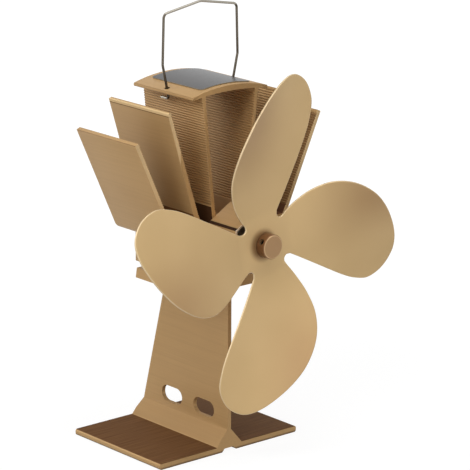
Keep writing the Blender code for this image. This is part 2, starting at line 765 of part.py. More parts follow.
def build_label(frame):
    """A thin plate with round corners that follows the cap's arch, made in strips across the width."""
    outline = rounded_rectangle(label_width, label_depth, label_corner)
    ends = [(x, abs(y)) for x, y in outline if y > 0]
    reach = label_width / 2 - label_corner
    ends += [(x, label_depth / 2) for x in np.linspace(-reach, reach, label_segments + 1)[1:-1]]
    ends.sort(key=lambda end: (end[0], -end[1] if end[0] > 0 else end[1]))
    middle = sink_front + label_front_margin + label_depth / 2
    bm = bmesh.new()
    levels = []
    for radius in (cap_radius + bond_gap, cap_radius + bond_gap + label_thickness):
        rows = []
        for x, half in ends:
            angle = x / cap_radius
            place = (radius * math.sin(angle), cap_centre + radius * math.cos(angle))
            rows.append([bm.verts.new((place[0], middle + y, place[1])) for y in (-half, half)])
        for (a, b), (c, d) in zip(rows, rows[1:]):
            bm.faces.new((a, b, d, c))
        levels.append([row[0] for row in rows] + [row[1] for row in reversed(rows)])
    lower, upper = levels
    for i in range(len(lower)):
        bm.faces.new((lower[i - 1], lower[i], upper[i], upper[i - 1]))
    bmesh.ops.recalc_face_normals(bm, faces=bm.faces)
    add_object("label_plate", bm, "grey_label", frame, smooth=True)


def build_handle(frame):
    """The bent wire bail: hooks under the cap, sloping feet, upright legs and a peaked top."""
    foot_x, leg_x = handle_foot_width / 2, handle_width / 2
    pivot_height = (cap_top(foot_x) + cap_underside(foot_x)) / 2
    pivot = empty("handle_pivot", (0, 0, pivot_height), frame)
    slope = (leg_x - foot_x) / handle_kink_height
    hook_x = foot_x - slope * handle_hook_drop
    right = [(hook_x, handle_hook_length, -handle_hook_drop), (hook_x, 0, -handle_hook_drop),
             (leg_x, 0, handle_kink_height), (handle_top_width / 2, 0, handle_corner_height)]
    corners = right + [(0, 0, handle_peak_height)] + [(-x, y, z) for x, y, z in reversed(right)]
    bends = [hook_bend, kink_bend, corner_bend]
    path = rounded_path(corners, bends + [peak_bend] + bends[::-1])
    tube("carry_handle", path, wire_radius, "steel_wire", pivot)


# Motor and its housing, in the fan axis frame: +Z forwards from the heat sink's front face

def hexagon(flat_distance):
    """A hexagon with a point at the top, by the distance from its middle to a flat."""
    radius = flat_distance / math.cos(30 * DEGREE)
    return [(radius * math.sin(60 * i * DEGREE), radius * math.cos(60 * i * DEGREE)) for i in range(6)]


def build_housing(axis):
    """Hexagonal cup screwed to the block, with a hole for the leads."""
    outer = hexagon(housing_inner + housing_wall)
    housing = add_object("motor_housing", prism([outer], housing_start, housing_front), "gold_anodised", axis)
    pocket = prism([hexagon(housing_inner)], housing_start + housing_back, housing_front + cut_overrun)
    cut(housing, pocket, "motor_pocket_cutter")
    back_top = housing_start + housing_back + cut_overrun
    for side, name in ((-1, "left"), (1, "right")):
        place = Matrix.Translation((side * housing_screw_spacing / 2, -housing_screw_drop, 0))
        hole = cylinder(screw_radius + seat_gap, -cut_overrun, back_top)
        cut(housing, placed(hole, place), f"housing_screw_hole_{name}")
        head_bottom = housing_start + housing_back + seat_gap
        head_top = head_bottom + housing_screw_head_height
        tip = -(housing_screw_depth - seat_gap)
        screw = turned([(0, tip), (screw_radius, tip), (screw_radius, head_bottom),
                        (housing_screw_head_radius, head_bottom), (housing_screw_head_radius, head_top),
                        (0, head_top)], small_round_sides)
        add_object(f"housing_screw_{name}", placed(screw, place), "zinc_steel", axis, smooth=True)
    duct = cylinder(lead_duct_radius, -cut_overrun, back_top)
    cut(housing, placed(duct, Matrix.Translation((0, -lead_duct_drop, 0))), "housing_lead_cutter")


def build_motor_case(axis):
    """Steel can, moulded end cap, bushes, two magnets and two brush leaves with their terminals."""
    bush_outer = shaft_radius + running_gap + bush_wall
    boss_bore = bush_outer + bond_gap
    can_back = motor_back + end_cap_thickness + seat_gap
    boss_front = motor_front + front_boss_length
    can = turned([(can_inner, can_back), (motor_radius, can_back), (motor_radius, motor_front),
                  (boss_radius, motor_front), (boss_radius, boss_front), (boss_bore, boss_front),
                  (boss_bore, motor_front - can_wall), (can_inner, motor_front - can_wall)],
                 large_round_sides)
    add_object("motor_can", can, "zinc_steel", axis, smooth=True)
    ring_outer = can_inner - seat_gap
    ring_inner = ring_outer - end_cap_ring_wall
    cap_front = motor_back + end_cap_thickness
    boss_back = motor_back - back_boss_length
    cap = turned([(boss_bore, boss_back), (boss_radius, boss_back), (boss_radius, motor_back),
                  (motor_radius, motor_back), (motor_radius, cap_front), (ring_outer, cap_front),
                  (ring_outer, cap_front + end_cap_ring_depth), (ring_inner, cap_front + end_cap_ring_depth),
                  (ring_inner, cap_front), (boss_bore, cap_front)], large_round_sides)
    end_cap = add_object("motor_end_cap", cap, "cream_plastic", axis, smooth=True)
    for name, low, high in (("front_bush", motor_front - can_wall, boss_front),
                            ("back_bush", boss_back, cap_front)):
        ring = turned([(shaft_radius + running_gap, low), (bush_outer, low), (bush_outer, high),
                       (shaft_radius + running_gap, high)], small_round_sides)
        add_object(name, ring, "bronze_bush", axis, smooth=True)
    magnet_front = motor_front - can_wall - seat_gap
    for angle, name in ((0, "right"), (math.pi, "left")):
        section = arc((0, 0), magnet_outer, -magnet_half_angle, magnet_half_angle, 12)
        section += arc((0, 0), magnet_inner, magnet_half_angle, -magnet_half_angle, 12)
        add_object(f"magnet_{name}", prism([section], magnet_front - magnet_length, magnet_front),
                   "ferrite", axis, smooth=True, rotation=angle)
    build_brushes(axis, end_cap)


def build_brushes(axis, end_cap):
    """Two flat leaves that touch the commutator from opposite sides and end as terminals."""
    leaf_front = commutator_front - seat_gap
    leaf_back = leaf_front - brush_leaf_width
    tip = motor_back - terminal_reach
    low = commutator_radius + bond_gap
    outer = terminal_offset + terminal_width / 2
    inner = terminal_offset - terminal_width / 2
    reach = -commutator_radius
    outline = [(reach, leaf_back), (inner, leaf_back), (inner, tip), (outer, tip), (outer, leaf_front),
               (reach, leaf_front)]

    def leaf(u, v, w):
        return (u, w, v)

    slot = rectangle(terminal_width + 2 * seat_gap, brush_thickness + 2 * seat_gap,
                     (terminal_offset, low + brush_thickness / 2))
    for angle, name in ((0, "right"), (math.pi, "left")):
        add_object(f"brush_{name}", prism([outline], low, low + brush_thickness, leaf), "copper", axis,
                   rotation=angle)
        opening = prism([slot], motor_back - cut_overrun, motor_back + end_cap_thickness + cut_overrun)
        cut(end_cap, placed(opening, Matrix.Rotation(angle, 4, "Z")), f"brush_slot_{name}")


def pole_outline():
    """The armature's section: a hub, and a neck and a wide shoe for each pole."""
    hub = shaft_radius + bond_gap + core_hub_wall
    neck = pole_neck_width / 2
    shoe_inner = core_radius - pole_shoe_thickness
    hub_angle = math.asin(neck / hub)
    neck_angle = math.asin(neck / shoe_inner)
    points = []
    for pole in range(pole_count):
        middle = 2 * math.pi * pole / pole_count
        points += arc((0, 0), hub, middle - math.pi / pole_count, middle - hub_angle, 3)[:-1]
        points.append(turn((math.sqrt(hub ** 2 - neck ** 2), -neck), middle))
        points += arc((0, 0), shoe_inner, middle - neck_angle, middle - pole_shoe_half_angle, 4)
        points += arc((0, 0), core_radius, middle - pole_shoe_half_angle, middle + pole_shoe_half_angle, 10)
        points += arc((0, 0), shoe_inner, middle + pole_shoe_half_angle, middle + neck_angle, 4)
        points.append(turn((math.sqrt(hub ** 2 - neck ** 2), neck), middle))
        points += arc((0, 0), hub, middle + hub_angle, middle + math.pi / pole_count, 3)[1:-1]
    return points


def build_armature(rotor):
    """Shaft, laminated core with three coils, and the commutator."""
    back = motor_back - back_boss_length + seat_gap
    front = collar_front - collar_front_wall - seat_gap
    add_object("motor_shaft", cylinder(shaft_radius, back, front), "zinc_steel", rotor, smooth=True)
    bore = shaft_radius + bond_gap
    low, high = core_middle - core_length / 2, core_middle + core_length / 2
    core = prism([pole_outline(), circle((0, 0), bore, small_round_sides)], low, high)
    add_object("armature_core", core, "lamination", rotor)
    inner = (pole_neck_width + 2 * bond_gap, core_length + 2 * bond_gap)
    outer = (inner[0] + 2 * coil_thickness, inner[1] + 2 * coil_thickness)
    coil_start = bore + core_hub_wall + seat_gap
    coil_end = math.sqrt((core_radius - pole_shoe_thickness) ** 2 - (outer[0] / 2) ** 2) - seat_gap

    def around_pole(u, v, w):
        return (w, u, core_middle + v)

    for pole in range(pole_count):
        loops = [rounded_rectangle(*outer, coil_thickness), rectangle(*inner)]
        add_object(f"coil_{pole + 1}", prism(loops, coil_start, coil_end, around_pole), "copper", rotor,
                   smooth=True, rotation=2 * math.pi * pole / pole_count)
    sleeve = turned([(bore, commutator_front - commutator_length),
                     (commutator_radius, commutator_front - commutator_length),
                     (commutator_radius, commutator_front), (bore, commutator_front)], small_round_sides)
    add_object("commutator", sleeve, "copper", rotor, smooth=True)


# Fan, in the same frame, turning about Z

def twist_depth(x, y):
    """How far a blade stands forward of the hub's plane: the pitch grows evenly from the hub to the tip."""
    def eased(distance):
        h = np.maximum(distance - hub_flat_radius, 0)
        return h ** 2 / (h + twist_ease)
    return math.tan(tip_pitch) * eased(x) / eased(fan_radius) * (y + twist_line_offset)


def blade_edges():
    """Matched points along a blade's leading and trailing edges, from its root to its tip."""
    centre = turn((slot_round_distance, 0), slot_round_angle)
    previous = turn((slot_round_distance, 0), slot_round_angle - 2 * math.pi / blade_count)
    leading = [(x * fan_radius, y * fan_radius) for x, y in leading_edge_shares]
    trailing = [(x * fan_radius, y * fan_radius) for x, y in trailing_edge_shares]
    lead_start = tangent_point(centre, leading[0], -1)
    trail_start = tangent_point(previous, trailing[0], 1)
    edge = [lead_start] + leading + trailing[-2::-1] + [trail_start]
    curve = smooth_curve(edge, edge_steps)
    tip = len(leading) * edge_steps
    lead = evenly_spaced(curve[:tip + 1], blade_stations)
    trail = evenly_spaced(curve[:tip - 1:-1], blade_stations)
    return centre, lead, trail


def tangent_point(centre, target, side):
    """Where the line from a slot's round end to a target point leaves the round tangentially."""
    to_target = Vector(target) - Vector(centre)
    swing = math.acos(slot_round_radius / to_target.length)
    heading = math.atan2(to_target.y, to_target.x) + side * swing
    return (centre[0] + slot_round_radius * math.cos(heading),
            centre[1] + slot_round_radius * math.sin(heading))


def slot_end(centre, start, end, steps):
    """The round end of the slot between two blades, passing on the hub's side."""
    a = math.atan2(start[1] - centre[1], start[0] - centre[0])
    b = math.atan2(end[1] - centre[1], end[0] - centre[0])
    while b > a:
        b -= 2 * math.pi
    return arc(centre, slot_round_radius, a, b, steps)[1:-1]


def build_fan(rotor):
    """Flat hub with a hole and four twisted blades, one sheet given its thickness by Solidify."""
    centre, lead, trail = blade_edges()
    bm = bmesh.new()
    hub_edges, roots = [], []
    for blade in range(blade_count):
        angle = 2 * math.pi * blade / blade_count
        grid = []
        for a, b in zip(trail, lead):
            row = []
            for j in range(blade_strips + 1):
                x, y = a + (b - a) * j / blade_strips
                depth = 0.0 if len(grid) == 0 else float(twist_depth(x, y))
                row.append(bm.verts.new((*turn((x, y), angle), depth)))
                if len(grid) == blade_stations:
                    row = row[:1] * (blade_strips + 1)
                    break
            grid.append(row)
        for low, high in zip(grid, grid[1:]):
            for j in range(blade_strips):
                corners = [low[j], low[j + 1], high[j + 1], high[j]]
                bm.faces.new([v for i, v in enumerate(corners) if v not in corners[:i]])
        roots.append(grid[0])
    for blade in range(blade_count):
        angle = 2 * math.pi * blade / blade_count
        following = roots[(blade + 1) % blade_count]
        start = tuple(lead[0])
        end = turn(tuple(trail[0]), 2 * math.pi / blade_count)
        points = [turn(p, angle) for p in slot_end(centre, start, end, 8)]
        chain = [roots[blade][-1]] + [bm.verts.new((*p, 0)) for p in points] + [following[0]]
        hub_edges += [bm.edges.new(pair) for pair in zip(chain, chain[1:])]
        hub_edges += [bm.edges.get(pair) for pair in zip(roots[blade], roots[blade][1:])]
    hole = [bm.verts.new((*p, 0)) for p in circle((0, 0), spigot_radius + seat_gap, small_round_sides)]
    hub_edges += [bm.edges.new((hole[i - 1], hole[i])) for i in range(len(hole))]
    bmesh.ops.triangle_fill(bm, edges=hub_edges, use_beauty=True)
    bmesh.ops.recalc_face_normals(bm, faces=bm.faces)
    fan = add_object("fan_blades", bm, "gold_sheet", rotor, smooth=True)
    fan.location.z = blade_plane
    solidify = fan.modifiers.new("sheet", "SOLIDIFY")
    solidify.thickness = blade_thickness
    solidify.offset = 0


def build_collar(rotor):
    """Turned collar riveted through the hub, bored for the shaft, and its set screw."""
    sheet_front = blade_plane + blade_thickness / 2
    sheet_back = blade_plane - blade_thickness / 2
    shoulder = sheet_front + seat_gap
    lip_front = sheet_back - seat_gap
    lip_back = lip_front - rivet_lip_thickness
    bore = shaft_radius + bond_gap
    bore_end = collar_front - collar_front_wall
    outline = [(bore, lip_back), (rivet_lip_radius, lip_back), (rivet_lip_radius, lip_front),
               (spigot_radius, lip_front), (spigot_radius, shoulder), (collar_radius, shoulder),
               (collar_radius, collar_front - collar_chamfer), (collar_radius - collar_chamfer, collar_front),
               (0, collar_front), (0, bore_end), (bore, bore_end)]
    collar = add_object("hub_collar", turned(outline, large_round_sides), "collar_bronze", rotor,
                        smooth=True)
    height = (shoulder + collar_front) / 2
    radial = (Matrix.Rotation(set_screw_angle - rotor_rest_angle, 4, "Z")
              @ Matrix.Translation((0, 0, height)) @ Matrix.Rotation(90 * DEGREE, 4, "Y"))
    hole = cylinder(set_screw_radius + bond_gap, 0, collar_radius + cut_overrun)
    cut(collar, placed(hole, radial), "set_screw_hole")
    start = shaft_radius + bond_gap
    end = start + set_screw_length
    screw = add_object("set_screw", placed(cylinder(set_screw_radius, start, end), radial), "black_steel",
                       rotor, smooth=True)
    socket = cylinder(socket_radius, end - socket_depth, end + cut_overrun, 6)
    cut(screw, placed(socket, radial), "set_screw_socket")


def build_leads(frame):
    """Two wires from the module's front edge, up the block's duct and out to the motor's terminals."""
    duct_y = sink_front + lead_duct_setback
    start_z = stand_height + seat_gap + ceramic_thickness + seat_gap + pellet_height / 2
    start_y = -module_width / 2 - seat_gap
    outlet_z = lead_duct_height
    cup_y = sink_front - (housing_start + housing_back + motor_back_space / 2)
    terminal_z = commutator_radius + bond_gap + brush_thickness / 2
    for side, name, finish_name in ((1, "lead_right", "red_lead"), (-1, "lead_left", "black_lead")):
        x = side * lead_spacing / 2
        end_z = axis_height + side * terminal_z - (brush_thickness / 2 + seat_gap + lead_radius)
        end_x = side * terminal_offset
        corners = [(x, start_y, start_z), (x, duct_y, start_z), (x, duct_y, outlet_z), (x, cup_y, outlet_z),
                   (end_x, cup_y, (outlet_z + end_z) / 2), (end_x, cup_y, end_z)]
        path = rounded_path(corners, [lead_bend] * 4, 4)
        tube(name, path, lead_radius, finish_name, frame)


def forward_reach():
    """How far the blades stand forward of the heat sink's front face."""
    _, lead, trail = blade_edges()
    edge = np.vstack([lead, trail])
    return blade_plane + float(twist_depth(edge[:, 0], edge[:, 1]).max()) + blade_thickness / 2


def build():
    """Clear the scene and model the whole fan, its origin on the floor under the middle of its box."""
    for old in list(bpy.data.objects):
        bpy.data.objects.remove(old)
    reach = sink_front - forward_reach()
    frame = empty("fan_frame", (0, -(reach + base_back) / 2, 0))
    axis = empty("fan_axis", (0, sink_front, axis_height), frame, (90 * DEGREE, 0, 0))
    rotor = empty("rotor", (0, 0, 0), axis, (0, 0, rotor_rest_angle))
    build_stand(frame)
    build_safety_strip(frame)
    build_module(frame)
    build_heat_sink(frame)
    build_clamp_screws(frame)
    build_label(frame)
    build_handle(frame)
    build_leads(frame)
    build_housing(axis)
    build_motor_case(axis)
    build_armature(rotor)
    build_fan(rotor)
    build_collar(rotor)


build()
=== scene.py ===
"""Looks of a heat-powered stove fan: satin gold sheet and extrusions, steel wire and small fittings."""
import math

import bmesh
import bpy
import numpy as np
from mathutils import Matrix, Vector


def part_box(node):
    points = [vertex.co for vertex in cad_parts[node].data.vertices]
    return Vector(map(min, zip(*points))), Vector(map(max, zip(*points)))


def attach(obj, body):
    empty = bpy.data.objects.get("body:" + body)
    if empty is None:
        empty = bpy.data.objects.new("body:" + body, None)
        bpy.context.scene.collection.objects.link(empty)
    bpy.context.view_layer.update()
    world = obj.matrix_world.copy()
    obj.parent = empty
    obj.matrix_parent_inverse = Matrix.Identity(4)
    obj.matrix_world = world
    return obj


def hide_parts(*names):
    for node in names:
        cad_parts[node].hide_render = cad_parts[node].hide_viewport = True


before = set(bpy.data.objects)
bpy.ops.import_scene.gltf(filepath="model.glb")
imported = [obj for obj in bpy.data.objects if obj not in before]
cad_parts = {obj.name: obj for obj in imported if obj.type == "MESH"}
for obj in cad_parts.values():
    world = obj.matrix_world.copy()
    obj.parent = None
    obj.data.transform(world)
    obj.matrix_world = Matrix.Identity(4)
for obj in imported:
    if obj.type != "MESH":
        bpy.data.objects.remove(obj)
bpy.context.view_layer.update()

MM = 0.001
DEGREE = math.radians(1)

# Sizes of the fan, as the solids have them
fan_radius = 79.0 * MM
blade_count = 4
blade_turn = 2 * math.pi / blade_count
blade_thickness = 0.9 * MM
blade_clearance = 4.2 * MM
hub_flat_radius = 12.0 * MM
twist_ease = 6.0 * MM
tip_pitch = 20.5 * DEGREE
twist_line_offset = 28.8 * MM
slot_round_radius = 2.1 * MM
slot_round_distance = 16.3 * MM
slot_round_angle = 54.0 * DEGREE
rotor_rest_angle = 3.4 * DEGREE
hub_hole_radius = 3.7 * MM
axis_height = 105.65 * MM
leading_edge_shares = ((0.230, 0.211), (0.342, 0.267), (0.468, 0.291), (0.608, 0.259),
                       (0.751, 0.168), (0.861, 0.046), (0.943, -0.096), (0.971, -0.205))
trailing_edge_shares = ((0.203, -0.105), (0.380, -0.207), (0.570, -0.316), (0.680, -0.366),
                        (0.785, -0.388), (0.886, -0.354), (0.950, -0.285), (0.971, -0.205))
collar_radius = 5.7 * MM

# Sizes of the stand that its finish follows
foot_thickness = 3.1 * MM
gusset_width = 14.9 * MM
above_gussets = 25.0 * MM

# Sizes of the heat sink
block_width = 43.2 * MM
block_height = 18.0 * MM
plate_width = 65.1 * MM
floor_thickness = 4.5 * MM
outer_fin_height = 50.0 * MM
outer_fin_lean = 24.6 * DEGREE
outer_fin_thickness = 2.2 * MM
inner_fin_height = 57.3 * MM
inner_fin_lean = 17.0 * DEGREE
inner_fin_thickness = 1.9 * MM
inner_fin_foot_thickness = 3.0 * MM
inner_fin_foot = 19.3 * MM
wall_lean = 6.1 * DEGREE
wall_thickness = 2.2 * MM
wall_foot = 10.2 * MM
cap_width = 44.4 * MM
cap_rise = 3.15 * MM
cap_thickness = 2.8 * MM
cap_end_thickness = 1.5 * MM
rib_pitch = 1.17 * MM
rib_depth = 0.34 * MM
rib_steps = 6
rib_top_margin = 1.2 * MM
rib_foot_margin = 8.0 * MM
wall_rib_foot_margin = 10.4 * MM
outer_rib_foot_margin = 3.5 * MM
root_fillet = 1.0 * MM
knee_radius = 4.5 * MM

# Sizes of the housing and the wire handle
housing_inner = 12.3 * MM
housing_wall = 1.1 * MM
housing_back = 2.0 * MM
wire_radius = 0.6 * MM
handle_width = 44.6 * MM
handle_top_width = 43.2 * MM
handle_foot_width = 39.3 * MM
handle_kink_height = 11.8 * MM
handle_corner_height = 35.1 * MM
handle_peak_height = 38.8 * MM
handle_hook_drop = 4.1 * MM
handle_hook_length = 5.5 * MM
handle_hole_radius = 1.2 * MM
hook_bend = 1.4 * MM
kink_bend = 3.0 * MM
corner_bend = 2.4 * MM
peak_bend = 8.0 * MM

# The sheet's slight bend across each blade
camber_radius = 120.0 * MM
camber_middle = -5.0 * MM
camber_rest = 19.0 * MM

# The painted shade along a leading edge, where the bent sheet turns away from the light: its limits across
# the blade and along it
lead_shade_across = (-16.0 * MM, 14.0 * MM)
lead_shade_along = (20.0 * MM, 62.0 * MM)

# Small roundings that show as light along an edge, and the angle past which the heat sink is creased
sheet_edge_round = 0.28 * MM
sawn_edge_round = 0.12 * MM
die_corner_round = 0.28 * MM
housing_corner_round = 0.6 * MM
rim_round = 0.25 * MM
sink_crease = 50 * DEGREE

# Where the finishes, the painted light and the painted shade of the heat sink, housing and blades change
zone_edge = 0.12 * MM
highlight_height = 1.25 * MM
shadow_line_width = 0.4 * MM
sawn_end_start = 29.0 * MM
duct_ledge = 10.0 * MM
duct_top = 58.0 * MM
corner_shadow_width = 0.7 * MM
collar_shade_shift = 1.4 * MM
collar_shade_reach = 3.2 * MM

# Places read from the imported solids
sink_low, sink_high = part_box("heat_sink")
housing_low, housing_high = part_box("motor_housing")
sink_front, sink_back = sink_low.y, sink_high.y
sink_bottom, cap_crown = sink_low.z, sink_high.z
plate_bottom = sink_bottom + block_height
channel_floor = plate_bottom + floor_thickness
sink_middle = (sink_front + sink_back) / 2
blade_plane = housing_low.y - blade_clearance - blade_thickness / 2


# Shader writing

class Value:
    """A socket in a sum: each operator adds the Math node that it stands for."""

    def __init__(self, tree, socket):
        self.tree, self.socket = tree, socket

    def math(self, operation, *others):
        """A Math node on this value and others."""
        return self.tree.math(operation, self, *others)

    def __add__(self, other):
        return self.math("ADD", other)

    def __sub__(self, other):
        return self.math("SUBTRACT", other)

    def __mul__(self, other):
        return self.math("MULTIPLY", other)

    def __rsub__(self, other):
        return self.tree.math("SUBTRACT", other, self)

    def between(self, low, high):
        """0 at low, 1 at high, eased in between."""
        inputs = {"Value": self, "From Min": low, "From Max": high}
        return self.tree.node("ShaderNodeMapRange", {"interpolation_type": "SMOOTHSTEP"}, inputs)

    def band(self, start, full, fading, gone):
        """0 up to start, 1 from full to fading, and 0 again from gone."""
        return self.between(start, full) * (1.0 - self.between(fading, gone))

    __radd__ = __add__
    __rmul__ = __mul__


class Nodes:
    """The nodes of a material or of the surround, all added by one method."""

    def __init__(self, owner):
        owner.use_nodes = True
        self.nodes, self.links = owner.node_tree.nodes, owner.node_tree.links

    def give(self, socket, value):
        """Put a number, a colour or a link into a socket."""
        if isinstance(value, Value):
            self.links.new(value.socket, socket)
        elif isinstance(value, tuple) and socket.type == "RGBA":
            socket.default_value = (*value, 1.0)
        else:
            socket.default_value = value

    def node(self, kind, settings=None, inputs=None, output=0):
        """Add a node, first its settings and then its inputs by place or by name."""
        node = self.nodes.new(kind)
        for key, value in (settings or {}).items():
            setattr(node, key, value)
        pairs = inputs.items() if isinstance(inputs, dict) else enumerate(inputs or ())
        for key, value in pairs:
            self.give(node.inputs[key], value)
        return Value(self, node.outputs[output])

    def math(self, operation, *values):
        """A Math node on values or numbers."""
        return self.node("ShaderNodeMath", {"operation": operation}, values)

    def vector(self, operation, values, output=0):
        """A Vector Math node, whose output is named where it is a number."""
        return self.node("ShaderNodeVectorMath", {"operation": operation}, values, output)

    def seen(self):
        """1 for rays from the camera, off gloss and through glass, 0 for the rays that light the object."""
        rays = self.node("ShaderNodeLightPath").socket.node.outputs
        kinds = "Camera", "Glossy", "Transmission"
        camera, gloss, glass = (Value(self, rays[f"Is {kind} Ray"]) for kind in kinds)
        return camera.math("MAXIMUM", gloss).math("MAXIMUM", glass)


class Finish(Nodes):
    """A node material around one Principled shader."""

    def __init__(self, name, metallic=0.0, roughness=0.5, **sockets):
        self.material = bpy.data.materials.new(name)
        super().__init__(self.material)
        self.shader = self.nodes["Principled BSDF"]
        self.place = self.node("ShaderNodeTexCoord", output="Object")
        self.set(Metallic=metallic, Roughness=roughness, **sockets)

    def set(self, **sockets):
        """Set the shader's own sockets, named with underscores for spaces."""
        for key, value in sockets.items():
            self.give(self.shader.inputs[key.replace("_", " ")], value)

    def read_axes(self):
        """The X, Y and Z of a point, and side, its distance from the middle."""
        axes = self.node("ShaderNodeSeparateXYZ", inputs=[self.place]).socket.node.outputs
        self.x, self.y, self.z = (Value(self, socket) for socket in axes)
        self.side = self.x.math("ABSOLUTE")

    def noise(self, cells, detail=2.0):
        """A noise from 0 to 1 with so many cells per metre, as one number or one for each axis."""
        cells = cells if isinstance(cells, tuple) else (cells,) * 3
        inputs = {"Vector": self.vector("MULTIPLY", [self.place, cells]), "Scale": 1.0, "Detail": detail}
        return self.node("ShaderNodeTexNoise", inputs=inputs)

    def mark(self, name):
        """A number that the mesh carries at its points, or 0 where it has none of that name."""
        return self.node("ShaderNodeAttribute", {"attribute_name": name}, output="Fac")

    def facing(self, axis):
        """How square a face stands to an axis, from 0 to 1."""
        normal = self.node("ShaderNodeNewGeometry", output="True Normal")
        return self.node("ShaderNodeSeparateXYZ", inputs=[normal], output=axis).math("ABSOLUTE")

    def flank(self, low=0.6, high=0.9):
        """1 on an extrusion's long faces, 0 on its sawn ends."""
        return 1.0 - self.facing("Y").between(low, high)

    def at_floor(self, lean):
        """Distance from the middle at which a line of this lean through the point meets the channel floor."""
        return self.side - (self.z - channel_floor) * math.tan(lean)

    def off_axis(self, shift=0.0):
        """Distance from the fan's axis, or from a line beside it."""
        across = self.node("ShaderNodeCombineXYZ", inputs=[self.x + shift, 0.0, self.z - axis_height])
        return self.vector("LENGTH", [across], "Value")

    def mix(self, factor, first, second):
        """A colour between two others."""
        return self.node("ShaderNodeMix", {"data_type": "RGBA"}, {"Factor": factor, 6: first, 7: second}, 2)

    def bump(self, height, distance, strength=1.0):
        """Tilt the surface by a height, whose full range is a real distance."""
        inputs = {"Height": height, "Distance": distance, "Strength": strength}
        self.set(Normal=self.node("ShaderNodeBump", inputs=inputs))


# Finishes

def shade(red, green, blue):
    """A linear colour from the usual 0 to 255 numbers."""
    parts = np.array([red, green, blue]) / 255
    linear = np.where(parts > 0.04045, ((parts + 0.055) / 1.055) ** 2.4, parts / 12.92)
    return tuple(float(part) for part in linear)


def blasted(finish, grain):
    """Fine grain of a blasted and anodised skin: specks in the gloss and a very small bump."""
    specks = finish.noise(2600.0, 3.0)
    finish.bump(specks, grain)
    return specks


def gold_sheet():
    """Blades: satin gold-bronze sheet, paler at its cut edges, partly bare metal and partly a painted
    highlight, with a painted shadow and reflection of the collar on the hub and painted shade along the
    leading edge.
    """
    finish = Finish("gold_sheet", metallic=0.25, Specular_IOR_Level=0.3)
    finish.read_axes()
    clouds = finish.noise(28.0).between(0.3, 0.7)
    specks = blasted(finish, 0.006 * MM)
    # The cut edges are paler: partly bare metal, partly a painted highlight
    rim = finish.mark("rim")
    skin = finish.mix(clouds, shade(212, 179, 127), shade(218, 185, 133))
    # Painted shade along the leading edge, where the bent sheet turns away from the light
    skin = finish.mix(finish.mark("lead") * 0.6, skin, shade(166, 126, 85))
    # A painted shadow and reflection of the collar on the hub, centred a little to one side of the axis
    distance = finish.off_axis(collar_shade_shift)
    collar_shade = 1.0 - distance.between(collar_radius - 0.5 * MM, collar_radius + collar_shade_reach)
    skin = finish.mix(collar_shade * 0.8, skin, shade(124, 88, 52))
    finish.set(Base_Color=finish.mix(rim * 0.5, skin, shade(246, 226, 186)),
               Roughness=0.38 + specks * 0.12 - rim * 0.14)
    return finish.material


def gold_extrusion(name, *zones):
    """Extrusions: satin gold-bronze with faint die lines along the depth and painted shade in the valleys
    between ribs.
    Each zone is a patch of painted light or shade, duller and in its own colour."""
    finish = Finish(name, Specular_IOR_Level=0.2)
    finish.read_axes()
    lines = finish.noise((1500.0, 12.0, 1500.0)).between(0.35, 0.75)
    clouds = finish.noise((30.0, 18.0, 30.0)).between(0.3, 0.7)
    colour = finish.mix(clouds, shade(196, 158, 107), shade(202, 164, 113))
    colour = finish.mix(lines * 0.25, colour, shade(178, 143, 96))
    # Painted shade in the valleys between ribs
    colour = finish.mix(finish.mark("valley") * 0.7, colour, shade(104, 68, 36))
    roughness = 0.4 + blasted(finish, 0.005 * MM) * 0.14
    metal = bare_metal = 0.15
    for zone in zones:
        mask, tone = zone(finish)
        colour = finish.mix(mask, colour, tone)
        roughness = roughness + mask * 0.3
        metal = metal - mask * bare_metal
    # The housing's front rim is paler: a painted highlight
    rim = finish.mark("rim")
    colour = finish.mix(rim * 0.85, colour, shade(250, 234, 208))
    # The housing's pocket is darker inside: painted shade
    finish.set(Base_Color=finish.mix(finish.mark("pocket"), colour, shade(84, 54, 28)),
               Roughness=roughness - rim * 0.2, Metallic=metal)
    return finish.material


def foot_top_shadow(finish):
    """The foot's upper faces are painted darker brown as the shadow under the heat sink, with streaks across
    the width: where, and their colour.
    """
    rise = finish.z - foot_thickness
    level = rise.band(-0.4 * MM, -0.1 * MM, 0.15 * MM, 0.4 * MM)
    streaks = finish.noise((40.0, 1800.0, 1.0), 3.0).between(0.3, 0.7)
    tone = finish.mix(streaks, shade(98, 66, 37), shade(122, 86, 52))
    return level * finish.side.between(gusset_width / 2, gusset_width / 2 + 0.3 * MM), tone


def slope_shade(finish):
    """The sloping faces that run from the foot up to the web are duller and painted darker, as shade."""
    height = finish.z.band(foot_thickness, foot_thickness + 0.3 * MM, above_gussets, above_gussets + 5.0 * MM)
    return finish.facing("Z").between(0.3, 0.5) * height * 0.45, shade(168, 134, 90)


def lower_edge_shade(finish):
    """The foot's lower edge is painted darker as shade on its downward-facing rounding, and duller."""
    return 0.8 - finish.z.between(0.2 * MM, 1.3 * MM) * 0.8, shade(104, 84, 64)


def channel_shade(inner, outer, reach, tone, share=1.0):
    """The foot of a channel between two leaning faces, up to a height over its floor, is painted darker, as
    the shade deep in the channel. Each face is given by its distance from the middle at the floor and its
    lean."""
    def zone(finish):
        past_inner, past_outer = (finish.at_floor(lean).between(foot - zone_edge, foot + zone_edge)
                                  for foot, lean in (inner, outer))
        low = (finish.z - channel_floor).band(-2.0 * MM, -1.5 * MM, reach - zone_edge, reach + zone_edge)
        behind_front = finish.y.between(sink_front - zone_edge, sink_front)
        return past_inner * (1.0 - past_outer) * low * finish.flank() * behind_front * share, tone
    return zone


